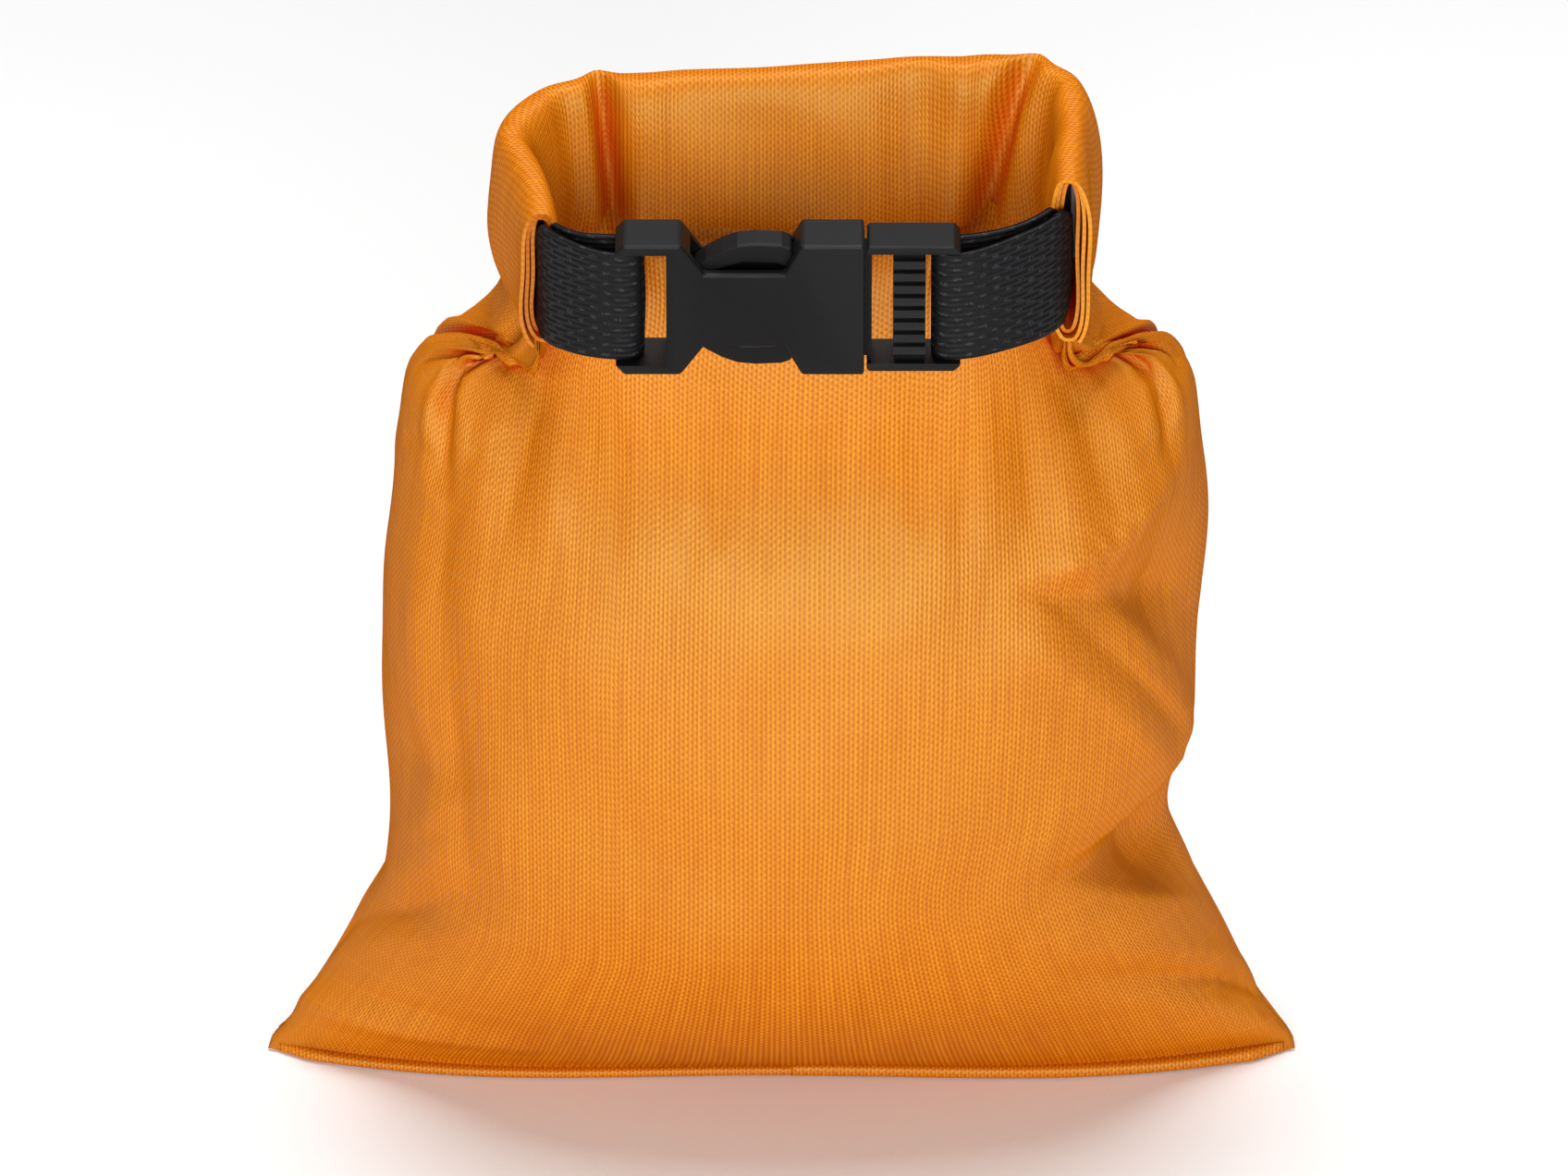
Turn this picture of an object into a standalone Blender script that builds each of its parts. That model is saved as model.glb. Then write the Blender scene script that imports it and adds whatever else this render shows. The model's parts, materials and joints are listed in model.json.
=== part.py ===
"""Roll-top dry bag of 1.5 litres, standing filled, its mouth rolled, bent round and buckled.

Metres, +Z up, X to the right, Y to the back. The origin is on the ground, under the middle
of the bag. The rolled collar is a C that opens forward, and the buckle closes it.
"""

import math

import bmesh
import bpy
from mathutils import Matrix, Vector

# Bag tube
BAG_WALL = 0.0014
BAG_RING_POINTS = 44
BAG_RINGS = 26
BAG_FLOOR = 0.003
BAG_RING_SPREAD = 1.12
EAR_SOLID = 0.012
EAR_HEIGHT = 0.045

# Stations of the filled bag: height, half width, half depth, middle's Y, lens power, share of neck.
BAG_STATIONS = (
    (0.0000, 0.0830, 0.0110, 0.0040, 1.70, 0.00),
    (0.0018, 0.0845, 0.0110, 0.0040, 1.70, 0.00),
    (0.0060, 0.0840, 0.0190, 0.0030, 1.60, 0.00),
    (0.0140, 0.0795, 0.0270, 0.0020, 1.45, 0.00),
    (0.0260, 0.0730, 0.0345, 0.0010, 1.25, 0.00),
    (0.0390, 0.0670, 0.0380, 0.0000, 1.10, 0.00),
    (0.0600, 0.0660, 0.0392, 0.0000, 1.00, 0.00),
    (0.0850, 0.0670, 0.0385, 0.0000, 1.00, 0.02),
    (0.1050, 0.0675, 0.0350, 0.0010, 1.00, 0.10),
    (0.1200, 0.0665, 0.0290, 0.0030, 1.00, 0.27),
    (0.1320, 0.0640, 0.0200, 0.0060, 1.00, 0.55),
    (0.1410, 0.0600, 0.0110, 0.0100, 1.00, 0.84),
    (0.1480, 0.0560, 0.0038, 0.0130, 1.00, 1.00),
)

# Seams
HEM_DEPTH = 0.0025
HEM_HEIGHT = 0.0014
HEM_HALF_LENGTH = 0.078
HEM_STEPS = 32
SEAM_WAVE = 0.0045
SEAM_WAVE_LENGTH = 0.120
SEAM_WAVE_FADE = 0.014
TAPE_WIDTH = 0.012
TAPE_THICKNESS = 0.0006
BACK_TAPE_LOW = 0.012
BACK_TAPE_RISE = 0.120
BACK_TAPE_STEPS = 14
BOTTOM_TAPE_WIDTH = 0.008
BOTTOM_TAPE_HALF_LENGTH = 0.045
BOTTOM_TAPE_Y = 0.001
GAP = 0.0003

# Rolled collar: a straight back, two quarter bends and two arms
COLLAR_CENTRE_X = 0.0022
COLLAR_BACK_Y = 0.0130
COLLAR_BACK_Z = 0.1624
COLLAR_BACK_HALF = 0.0278
COLLAR_BEND_RADIUS = 0.0160
COLLAR_ARM = 0.0210
COLLAR_FALL = 0.29
COLLAR_HALF_HEIGHT = 0.0130
COLLAR_END_HALF_HEIGHT = 0.0118
COLLAR_HALF_THICKNESS = 0.0055
COLLAR_END_HALF_THICKNESS = 0.0046
COLLAR_CORE_HALF_HEIGHT = 0.0096
COLLAR_CORE_HALF_THICKNESS = 0.0021
COLLAR_HINGE = 0.0265
COLLAR_SECTION_POINTS = 20
COLLAR_SQUARE = 0.62
COLLAR_CORE_SQUARE = 0.45
COLLAR_STEP = 0.0042
STRIP_STEP = 0.0045
NECK_FALL = 0.35
NECK_END_TRIM = 0.006
STIFFENER_HALF_HEIGHT = 0.0078
STIFFENER_THICKNESS = 0.0008
STIFFENER_OFFSET = 0.0010
STIFFENER_END_TRIM = 0.001
TAIL_LENGTH = 0.022
TAIL_HALF_HEIGHT = 0.0085
TAIL_THICKNESS = 0.0011
TAIL_OFFSET = -0.0009
TAIL_END_TRIM = 0.0005

# Webbing loops
WEBBING_WIDTH = 0.020
WEBBING_THICKNESS = 0.0012
WEBBING_NOSE_RADIUS = 0.0016
WEBBING_BAR_RADIUS = 0.0032
WEBBING_STEPS = 6
WEBBING_TURN_STEPS = 4
WEBBING_LEAD_ACROSS = 0.45
WEBBING_LEAD_FORWARD = 0.75

# Side-release buckle. Its own frame: x along the buckle from the socket's end, y through its
# thickness with the front at -y, z across its width.
BUCKLE_LEFT_X = -0.0265
BUCKLE_Y = -0.0315
BUCKLE_Z = 0.1506
BUCKLE_TILT = math.radians(8)
SOCKET_LENGTH = 0.0398
SOCKET_HALF_WIDTH = 0.0122
SOCKET_THICKNESS = 0.0086
SOCKET_WAIST_HALF = 0.0068
SOCKET_BLOCK = 0.0104
SOCKET_WAIST_START = 0.0142
SOCKET_WAIST_END = 0.0270
SOCKET_BAND_START = 0.0298
SOCKET_CORNER = 0.0016
CAVITY_START = 0.0108
CAVITY_HALF_WIDTH = 0.0100
CAVITY_HALF_THICKNESS = 0.00275
SLOT_HALF_WIDTH = 0.0104
SOCKET_BAR = 0.0028
SOCKET_SLOT_END = 0.0081
BAR_HALF_THICKNESS = 0.0016
PLUG_START = 0.0402
PLUG_END = 0.0552
PLUG_HALF_WIDTH = 0.0118
PLUG_THICKNESS = 0.0076
PLUG_RAIL = 0.0015
PLUG_NECK_START = 0.0372
PLUG_NECK_END = 0.0408
PLUG_NECK_HALF_WIDTH = 0.0096
PLUG_NECK_HALF_THICKNESS = 0.0023
LADDER_START = 0.0446
LADDER_END = 0.0494
LADDER_RIDGES = 8
LADDER_PITCH = 0.0023
LADDER_RIDGE_HALF = 0.0007
LADDER_HALF_THICKNESS = 0.0030
OUTER_BAR_START = 0.0524
GUIDE_START = 0.0220
GUIDE_HALF_WIDTH = 0.0014
PRONG_ROOT_X = 0.0355
PRONG_ROOT_Z = 0.0062
PRONG_ROOT_RADIUS = 0.0013
PRONG_HALF_THICKNESS = 0.0023
EDGE_ROUND = 0.0005
PRONG_EDGE_ROUND = 0.00035
PRONG_ROOT_STEPS = 6
CUT_BEYOND = 0.002
OVERLAP = 0.0004
PLUG_INNER_CORNER = 0.0004
PLUG_OUTER_CORNER = 0.0010
LADDER_SINK = 0.0006

# Outline of the upper prong from its root's top, along its outer side to the tip and back.
PRONG_OUTLINE = (
    (0.0350, 0.0075),
    (0.0305, 0.0090),
    (0.0284, 0.0091),
    (0.0281, 0.0106),
    (0.0266, 0.0112),
    (0.0225, 0.0114),
    (0.0195, 0.0111),
    (0.0170, 0.0101),
    (0.0145, 0.0086),
    (0.0128, 0.0071),
    (0.0124, 0.0062),
    (0.0130, 0.0055),
    (0.0160, 0.0065),
    (0.0205, 0.0078),
    (0.0255, 0.0076),
    (0.0300, 0.0062),
    (0.0350, 0.0049),
)


def clear_scene():
    for old in list(bpy.data.objects):
        bpy.data.objects.remove(old, do_unlink=True)


def make_material(name, colour, roughness):
    material = bpy.data.materials.new(name)
    material.use_nodes = True
    shader = material.node_tree.nodes["Principled BSDF"]
    shader.inputs["Base Color"].default_value = (*colour, 1.0)
    shader.inputs["Roughness"].default_value = roughness
    material.diffuse_color = (*colour, 1.0)
    return material


def make_object(name, points, faces, material, sharp_angle=35):
    """A mesh object in world space, with its faces pointing out and its round parts smooth."""
    mesh = bpy.data.meshes.new(name)
    mesh.from_pydata([tuple(point) for point in points], [], faces)
    work = bmesh.new()
    work.from_mesh(mesh)
    bmesh.ops.recalc_face_normals(work, faces=work.faces)
    if work.calc_volume(signed=True) < 0:
        bmesh.ops.reverse_faces(work, faces=work.faces)
    work.to_mesh(mesh)
    work.free()
    mesh.materials.append(material)
    mesh.shade_smooth()
    mesh.set_sharp_from_angle(angle=math.radians(sharp_angle))
    obj = bpy.data.objects.new(name, mesh)
    bpy.context.scene.collection.objects.link(obj)
    return obj


def make_hinge(name, place, parent=None):
    """An empty on a joint's axis, which the moving pieces hang from."""
    hinge = bpy.data.objects.new(name, None)
    hinge.empty_display_size = 0.01
    bpy.context.scene.collection.objects.link(hinge)
    hinge.location = place
    bpy.context.view_layer.update()
    if parent:
        attach(hinge, parent)
    return hinge


def attach(child, parent):
    bpy.context.view_layer.update()
    child.parent = parent
    child.matrix_parent_inverse = parent.matrix_world.inverted()


def tube_mesh(outer, inner):
    """Points and faces of an open-ended sleeve from matching outer and inner rings."""
    points = [point for ring in outer + inner for point in ring]
    count = len(outer[0])
    first_inner = len(outer) * count
    faces = []
    for start in (0, first_inner):
        for k in range(len(outer) - 1):
            for i in range(count):
                a = start + k * count + i
                b = start + k * count + (i + 1) % count
                faces.append((a, b, b + count, a + count))
    for k in (0, len(outer) - 1):
        for i in range(count):
            a = k * count + i
            b = k * count + (i + 1) % count
            faces.append((a, b, first_inner + b, first_inner + a))
    return points, faces


def bar_mesh(rings):
    """Points and faces of a solid bar from its rings, closed at both ends."""
    points = [point for ring in rings for point in ring]
    count = len(rings[0])
    faces = []
    for k in range(len(rings) - 1):
        for i in range(count):
            a = k * count + i
            b = k * count + (i + 1) % count
            faces.append((a, b, b + count, a + count))
    faces.append(tuple(range(count)))
    faces.append(tuple(range(len(points) - count, len(points))))
    return points, faces


def rectangle(x, y, z):
    """A level ring between two x and two y."""
    return [(x[0], y[0], z), (x[1], y[0], z), (x[1], y[1], z), (x[0], y[1], z)]


def loop_mesh(rings):
    """Points and faces of a bar that closes on itself."""
    points = [point for ring in rings for point in ring]
    count = len(rings[0])
    faces = []
    for k in range(len(rings)):
        following = (k + 1) % len(rings)
        for i in range(count):
            j = (i + 1) % count
            start, above = k * count, following * count
            faces.append((start + i, start + j, above + j, above + i))
    return points, faces


# Paths and profiles


def collar_path(distance):
    """Middle of the collar in plan at a distance from its back: place and inward normal."""
    side = math.copysign(1.0, distance)
    run = abs(distance)
    bend = COLLAR_BEND_RADIUS * math.pi / 2
    if run <= COLLAR_BACK_HALF:
        x, y, heading = run, 0.0, 0.0
    elif run <= COLLAR_BACK_HALF + bend:
        heading = (run - COLLAR_BACK_HALF) / COLLAR_BEND_RADIUS
        x = COLLAR_BACK_HALF + COLLAR_BEND_RADIUS * math.sin(heading)
        y = -COLLAR_BEND_RADIUS * (1 - math.cos(heading))
    else:
        heading = math.pi / 2
        x = COLLAR_BACK_HALF + COLLAR_BEND_RADIUS
        y = -COLLAR_BEND_RADIUS - (run - COLLAR_BACK_HALF - bend)
    place = Vector((COLLAR_CENTRE_X + side * x, COLLAR_BACK_Y + y, 0.0))
    inward = Vector((-side * math.sin(heading), -math.cos(heading), 0.0))
    return place, inward


def collar_half_length():
    return COLLAR_BACK_HALF + COLLAR_BEND_RADIUS * math.pi / 2 + COLLAR_ARM


def collar_height(y):
    """Height of the collar's middle: its arms fall towards the front."""
    return COLLAR_BACK_Z - COLLAR_FALL * (COLLAR_BACK_Y - y)


def smooth_station(height):
    """The bag's stations read at any height, on a smooth curve through them."""
    last = len(BAG_STATIONS) - 2
    k = next((i for i in range(last) if height < BAG_STATIONS[i + 1][0]), last)
    before, start, end, after = (BAG_STATIONS[min(max(k + i, 0), last + 1)] for i in (-1, 0, 1, 2))
    span = end[0] - start[0]
    t = (height - start[0]) / span
    values = []
    for column in range(1, len(start)):
        slope_start = slope(before, start, end, column) * span
        slope_end = slope(start, end, after, column) * span
        values.append(
            (2 * t**3 - 3 * t**2 + 1) * start[column]
            + (t**3 - 2 * t**2 + t) * slope_start
            + (3 * t**2 - 2 * t**3) * end[column]
            + (t**3 - t**2) * slope_end
        )
    return values


def slope(before, here, after, column):
    """Slope at a station that never overshoots its neighbours."""
    if here[0] in (before[0], after[0]):
        return 0.0
    left = (here[column] - before[column]) / (here[0] - before[0])
    right = (after[column] - here[column]) / (after[0] - here[0])
    if left * right <= 0:
        return 0.0
    return 2 * left * right / (left + right)


def bag_ring(height, inset):
    """One ring round the bag, `inset` inside its outer face. It runs left, front, right, back."""
    half_width, half_depth, middle, power, neck = smooth_station(height)
    ear = EAR_SOLID * max(0.0, 1 - height / EAR_HEIGHT) if inset else 0.0
    wave_share = max(0.0, 1 - height / SEAM_WAVE_FADE)
    neck_half = collar_half_length() - NECK_END_TRIM
    ring = []
    for i in range(BAG_RING_POINTS):
        turn = 2 * math.pi * i / BAG_RING_POINTS
        across = -math.cos(turn)
        lens = math.copysign(abs(math.sin(turn)) ** power, math.sin(turn))
        x = (half_width - inset - ear) * across
        wave = SEAM_WAVE * wave_share * (1 - math.cos(2 * math.pi * x / SEAM_WAVE_LENGTH)) / 2
        y = middle - wave - (half_depth - inset) * lens
        place, inward = collar_path((neck_half - inset) * across)
        at_neck = place + inward * (half_depth - inset) * lens
        point = Vector((x, y, 0)).lerp(at_neck, neck)
        point.z = height - neck * NECK_FALL * (COLLAR_BACK_Y - point.y)
        ring.append(point)
    return ring


# Bag and seams


def build_bag(material):
    top = BAG_STATIONS[-1][0]
    heights = [BAG_STATIONS[0][0], BAG_STATIONS[1][0]]
    rise = top - heights[-1]
    steps = BAG_RINGS - len(heights)
    heights += [heights[-1] + rise * (k / steps) ** BAG_RING_SPREAD for k in range(1, steps + 1)]
    outer = [bag_ring(height, 0.0) for height in heights]
    inner = [bag_ring(height, BAG_WALL) for height in [BAG_FLOOR] + heights[2:]]
    count = BAG_RING_POINTS
    points = [point for ring in outer + inner for point in ring]
    faces = []
    first_inner = len(outer) * count
    for start, rings in ((0, len(outer)), (first_inner, len(inner))):
        for k in range(rings - 1):
            for i in range(count):
                a = start + k * count + i
                b = start + k * count + (i + 1) % count
                faces.append((a, b, b + count, a + count))
    last_outer = first_inner - count
    last_inner = len(points) - count
    for i in range(count):
        j = (i + 1) % count
        faces.append((last_outer + i, last_outer + j, last_inner + j, last_inner + i))
    faces.append(tuple(range(count)))
    faces.append(tuple(range(first_inner, first_inner + count)))
    return make_object("bag_body", points, faces, material)


def build_bottom_hem(material):
    """The turned seam allowance, which lies on the ground along the bag's lower front edge."""
    rings = []
    half_width, half_depth, middle, power, _ = BAG_STATIONS[0][1:]
    for k in range(HEM_STEPS + 1):
        x = HEM_HALF_LENGTH * (2 * k / HEM_STEPS - 1)
        lens = (1 - (x / half_width) ** 2) ** (power / 2)
        wave = SEAM_WAVE * (1 - math.cos(2 * math.pi * x / SEAM_WAVE_LENGTH)) / 2
        near = middle - wave - half_depth * lens - 2 * GAP
        far = near - HEM_DEPTH
        rings.append([(x, near, 0), (x, far, 0), (x, far, HEM_HEIGHT), (x, near, HEM_HEIGHT)])
    return make_object("bottom_seam_hem", *bar_mesh(rings), material)


def build_back_tape(material):
    """Tape on the inner face of the centre-back seam."""
    back = BAG_RING_POINTS * 3 // 4
    half = TAPE_WIDTH / 2
    rings = []
    for k in range(BACK_TAPE_STEPS + 1):
        point = bag_ring(BACK_TAPE_LOW + BACK_TAPE_RISE * k / BACK_TAPE_STEPS, BAG_WALL)[back]
        near = point.y - 2 * GAP
        far = near - TAPE_THICKNESS
        rings.append(rectangle((-half, half), (near, far), point.z))
    return make_object("back_seam_tape", *bar_mesh(rings), material)


def build_bottom_tape(material):
    """Tape along the bottom seam, on the bag's inner floor."""
    low = BAG_FLOOR + GAP
    high = low + TAPE_THICKNESS
    half = BOTTOM_TAPE_WIDTH / 2
    ends = (-BOTTOM_TAPE_HALF_LENGTH, BOTTOM_TAPE_HALF_LENGTH)
    rings = [rectangle(ends, (BOTTOM_TAPE_Y - half, BOTTOM_TAPE_Y + half), z) for z in (low, high)]
    return make_object("bottom_seam_tape", *bar_mesh(rings), material)


# Rolled collar


def collar_section(distance, half_height, half_thickness, square):
    """Ring of the collar standing upright across its path. A lower `square` has fuller corners."""
    place, inward = collar_path(distance)
    middle = Vector((place.x, place.y, collar_height(place.y)))
    ring = []
    for i in range(COLLAR_SECTION_POINTS):
        turn = 2 * math.pi * (i + 0.5) / COLLAR_SECTION_POINTS
        sideways = math.copysign(abs(math.cos(turn)) ** square, math.cos(turn))
        upward = math.copysign(abs(math.sin(turn)) ** square, math.sin(turn))
        rise = Vector((0, 0, half_height * upward))
        ring.append(middle + inward * half_thickness * sideways + rise)
    return ring


def collar_fraction(distance):
    """0 along the back, rising to 1 at the end of an arm."""
    start = COLLAR_BACK_HALF
    return max(0.0, (abs(distance) - start) / (collar_half_length() - start))


def build_collar(name, start, end, material):
    """A length of the rolled mouth: a sleeve round the core where the stiffener lies."""
    steps = max(4, round(abs(end - start) / COLLAR_STEP))
    outer = []
    inner = []
    for k in range(steps + 1):
        distance = start + (end - start) * k / steps
        share = collar_fraction(distance)
        height = COLLAR_HALF_HEIGHT + (COLLAR_END_HALF_HEIGHT - COLLAR_HALF_HEIGHT) * share
        thickness = COLLAR_HALF_THICKNESS + (COLLAR_END_HALF_THICKNESS - COLLAR_HALF_THICKNESS) * share
        core = (COLLAR_CORE_HALF_HEIGHT, COLLAR_CORE_HALF_THICKNESS, COLLAR_CORE_SQUARE)
        outer.append(collar_section(distance, height, thickness, COLLAR_SQUARE))
        inner.append(collar_section(distance, *core))
    return make_object(name, *tube_mesh(outer, inner), material)


def build_strip(name, start, end, half_height, thickness, offset, material):
    """A flat strip that follows the collar inside its core."""
    steps = max(3, round(abs(end - start) / STRIP_STEP))
    rings = []
    for k in range(steps + 1):
        place, inward = collar_path(start + (end - start) * k / steps)
        middle = collar_height(place.y)
        ring = []
        for sideways, upward in ((-0.5, -1), (0.5, -1), (0.5, 1), (-0.5, 1)):
            point = place + inward * (offset + sideways * thickness)
            ring.append((point.x, point.y, middle + upward * half_height))
        rings.append(ring)
    return make_object(name, *bar_mesh(rings), material)


# Webbing


def webbing_end(side):
    """Where a webbing loop leaves the roll, on its swing axis. Side is -1 left or +1 right."""
    place, _ = collar_path(side * collar_half_length())
    drop = WEBBING_NOSE_RADIUS + WEBBING_THICKNESS / 2 + 2 * GAP
    return Vector((place.x, place.y - drop, collar_height(place.y - drop)))


def build_webbing(name, side, bar_x, material):
    """A double loop of webbing from the roll's end round a buckle bar and back."""
    nose = webbing_end(side)
    bar = Vector((bar_x, BUCKLE_Y, BUCKLE_Z))
    reach = abs(nose.x - bar.x)
    across = WEBBING_LEAD_ACROSS * reach
    lead = nose + Vector((-side * across, -WEBBING_LEAD_FORWARD * (nose.y - bar.y), 0))
    into = bar + Vector((side * across, 0, 0))
    steps = WEBBING_STEPS
    middle = []
    for k in range(steps + 1):
        t = k / steps
        first = (1 - t) ** 3 * nose + 3 * (1 - t) ** 2 * t * lead
        last = 3 * (1 - t) * t**2 * into + t**3 * bar
        middle.append(first + last)
    rings = []

    def add_ring(centre, outward, radius, share):
        tilt = Matrix.Rotation(BUCKLE_TILT * share, 3, "X")
        inner = centre + tilt @ (outward * (radius - WEBBING_THICKNESS / 2))
        outer = centre + tilt @ (outward * (radius + WEBBING_THICKNESS / 2))
        half = tilt @ Vector((0, 0, WEBBING_WIDTH / 2))
        rings.append([inner - half, outer - half, outer + half, inner + half])

    def add_side(order, facing):
        for k in order:
            before = middle[max(k - 1, 0)]
            after = middle[min(k + 1, steps)]
            along = after - before
            along.z = 0
            along.normalize()
            across = Vector((along.y, -along.x, 0)) * facing
            share = k / steps
            radius = WEBBING_NOSE_RADIUS + (WEBBING_BAR_RADIUS - WEBBING_NOSE_RADIUS) * share
            add_ring(middle[k], across, radius, share)

    def add_turn(centre, along, facing, radius, share):
        across = Vector((along.y, -along.x, 0)) * facing
        for k in range(1, WEBBING_TURN_STEPS):
            turn = math.pi * k / WEBBING_TURN_STEPS
            outward = across * math.cos(turn) + along * math.sin(turn)
            add_ring(centre, outward, radius, share)

    add_side(range(steps + 1), 1)
    add_turn(bar, Vector((-side, 0, 0)), 1, WEBBING_BAR_RADIUS, 1.0)
    add_side(range(steps, -1, -1), -1)
    add_turn(nose, -(middle[1] - middle[0]).normalized(), -1, WEBBING_NOSE_RADIUS, 0.0)
    return make_object(name, *loop_mesh(rings), material)


# Buckle


def buckle_frame():
    """From the buckle's own frame to the world."""
    return Matrix.Translation((BUCKLE_LEFT_X, BUCKLE_Y, BUCKLE_Z)) @ Matrix.Rotation(BUCKLE_TILT, 4, "X")


def prism(name, outline, half_thickness, material):
    """An outline in the buckle's x and z, extruded through its thickness."""
    count = len(outline)
    points = [(x, y, z) for y in (-half_thickness, half_thickness) for x, z in outline]
    faces = [tuple(range(count)), tuple(range(count, 2 * count))]
    for i in range(count):
        j = (i + 1) % count
        faces.append((i, j, count + j, count + i))
    obj = make_object(name, points, faces, material, 28)
    obj.matrix_world = buckle_frame()
    return obj


def block(name, x, y, z, material):
    """A box between two x, two y and two z of the buckle's frame."""
    obj = prism(name, [(x[0], z[0]), (x[1], z[0]), (x[1], z[1]), (x[0], z[1])], 1.0, material)
    for vertex in obj.data.vertices:
        vertex.co.y = y[0] if vertex.co.y < 0 else y[1]
    return obj


def combine(obj, others, operation):
    """Adds or cuts other objects by Boolean, and hides them."""
    for other in others:
        modifier = obj.modifiers.new(other.name, "BOOLEAN")
        modifier.operation = operation
        modifier.object = other
        other.hide_render = True
        other.display_type = "WIRE"


def round_edges(obj, width, segments=2):
    modifier = obj.modifiers.new("Rounded edges", "BEVEL")
    modifier.width = width
    modifier.segments = segments
    modifier.limit_method = "ANGLE"
    modifier.angle_limit = math.radians(40)


def mirrored(outline):
    """The outline's upper half with its mirror image below."""
    return outline + [(x, -z) for x, z in reversed(outline)]


def build_socket(material):
    upper = [
        (0.0, SOCKET_HALF_WIDTH - SOCKET_CORNER),
        (SOCKET_CORNER * 0.8, SOCKET_HALF_WIDTH),
        (SOCKET_BLOCK, SOCKET_HALF_WIDTH),
        (SOCKET_WAIST_START, SOCKET_WAIST_HALF),
        (SOCKET_WAIST_END, SOCKET_WAIST_HALF),
        (SOCKET_BAND_START, SOCKET_HALF_WIDTH),
        (SOCKET_LENGTH, SOCKET_HALF_WIDTH),
    ]
    socket = prism("buckle_socket", mirrored(upper), SOCKET_THICKNESS / 2, material)
    round_edges(socket, EDGE_ROUND)
    thick = (-SOCKET_THICKNESS, SOCKET_THICKNESS)
    tall = (-SLOT_HALF_WIDTH, SLOT_HALF_WIDTH)
    cavity = block(
        "socket_cavity_cutter",
        (CAVITY_START, SOCKET_LENGTH + CUT_BEYOND),
        (-CAVITY_HALF_THICKNESS, CAVITY_HALF_THICKNESS),
        (-CAVITY_HALF_WIDTH, CAVITY_HALF_WIDTH),
        material,
    )
    slot = block("socket_slot_cutter", (SOCKET_BAR, SOCKET_SLOT_END), thick, tall, material)
    bar = (-CUT_BEYOND, SOCKET_BAR + GAP)
    front = block("socket_bar_front_cutter", bar, (thick[0], -BAR_HALF_THICKNESS), tall, material)
    rear = block("socket_bar_rear_cutter", bar, (BAR_HALF_THICKNESS, thick[1]), tall, material)
    combine(socket, [cavity, slot, front, rear], "DIFFERENCE")
    return socket


def build_plug(material):
    upper = [
        (PLUG_START, PLUG_HALF_WIDTH - PLUG_INNER_CORNER),
        (PLUG_START + PLUG_INNER_CORNER, PLUG_HALF_WIDTH),
        (PLUG_END - PLUG_OUTER_CORNER, PLUG_HALF_WIDTH),
        (PLUG_END, PLUG_HALF_WIDTH - PLUG_OUTER_CORNER),
    ]
    plug = prism("buckle_plug", mirrored(upper), PLUG_THICKNESS / 2, material)
    round_edges(plug, EDGE_ROUND)
    half_open = PLUG_HALF_WIDTH - PLUG_RAIL
    thick = (-PLUG_THICKNESS, PLUG_THICKNESS)
    tall = (-half_open, half_open)
    window = block("plug_window_cutter", (PLUG_START - CUT_BEYOND, OUTER_BAR_START), thick, tall, material)
    bar = (OUTER_BAR_START - GAP, PLUG_END + CUT_BEYOND)
    front = block("plug_bar_front_cutter", bar, (thick[0], -BAR_HALF_THICKNESS), tall, material)
    rear = block("plug_bar_rear_cutter", bar, (BAR_HALF_THICKNESS, thick[1]), tall, material)
    combine(plug, [window, front, rear], "DIFFERENCE")
    neck = block(
        "plug_neck",
        (PLUG_NECK_START, PLUG_NECK_END),
        (-PLUG_NECK_HALF_THICKNESS, PLUG_NECK_HALF_THICKNESS),
        (-PLUG_NECK_HALF_WIDTH, PLUG_NECK_HALF_WIDTH),
        material,
    )
    foot = block(
        "plug_neck_foot",
        (PLUG_START + OVERLAP / 2, PLUG_NECK_END + OVERLAP / 2),
        (-PLUG_NECK_HALF_THICKNESS - OVERLAP, PLUG_NECK_HALF_THICKNESS + OVERLAP),
        (-half_open - OVERLAP, half_open + OVERLAP),
        material,
    )
    guide = block(
        "plug_guide",
        (GUIDE_START, PLUG_NECK_START + OVERLAP),
        (-PLUG_NECK_HALF_THICKNESS + OVERLAP, PLUG_NECK_HALF_THICKNESS - OVERLAP),
        (-GUIDE_HALF_WIDTH, GUIDE_HALF_WIDTH),
        material,
    )
    ladder = block(
        "plug_ladder_bar",
        (LADDER_START, LADDER_END),
        (-LADDER_HALF_THICKNESS + LADDER_SINK, LADDER_HALF_THICKNESS),
        (-half_open - OVERLAP, half_open + OVERLAP),
        material,
    )
    ridges = []
    for k in range(LADDER_RIDGES):
        middle = LADDER_PITCH * (k - (LADDER_RIDGES - 1) / 2)
        ridge = block(
            f"plug_ladder_ridge_{k + 1}",
            (LADDER_START - OVERLAP / 2, LADDER_END + OVERLAP / 2),
            (-LADDER_HALF_THICKNESS - OVERLAP, 0.0),
            (middle - LADDER_RIDGE_HALF, middle + LADDER_RIDGE_HALF),
            material,
        )
        ridges.append(ridge)
    combine(plug, [foot, neck, guide, ladder, *ridges], "UNION")
    return plug


def build_prong(name, side, material):
    """A spring prong, whose bulge is the button and whose step catches behind the socket's band."""
    outline = [(x, side * z) for x, z in PRONG_OUTLINE]
    for k in range(1, PRONG_ROOT_STEPS):
        turn = -math.pi / 2 + math.pi * k / PRONG_ROOT_STEPS
        x = PRONG_ROOT_X + PRONG_ROOT_RADIUS * math.cos(turn)
        outline.append((x, side * (PRONG_ROOT_Z + PRONG_ROOT_RADIUS * math.sin(turn))))
    prong = prism(name, outline, PRONG_HALF_THICKNESS, material)
    root = Vector((PRONG_ROOT_X, 0, side * PRONG_ROOT_Z))
    prong.data.transform(Matrix.Translation(-root))
    prong.matrix_world = buckle_frame() @ Matrix.Translation(root)
    round_edges(prong, PRONG_EDGE_ROUND)
    return prong


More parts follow.
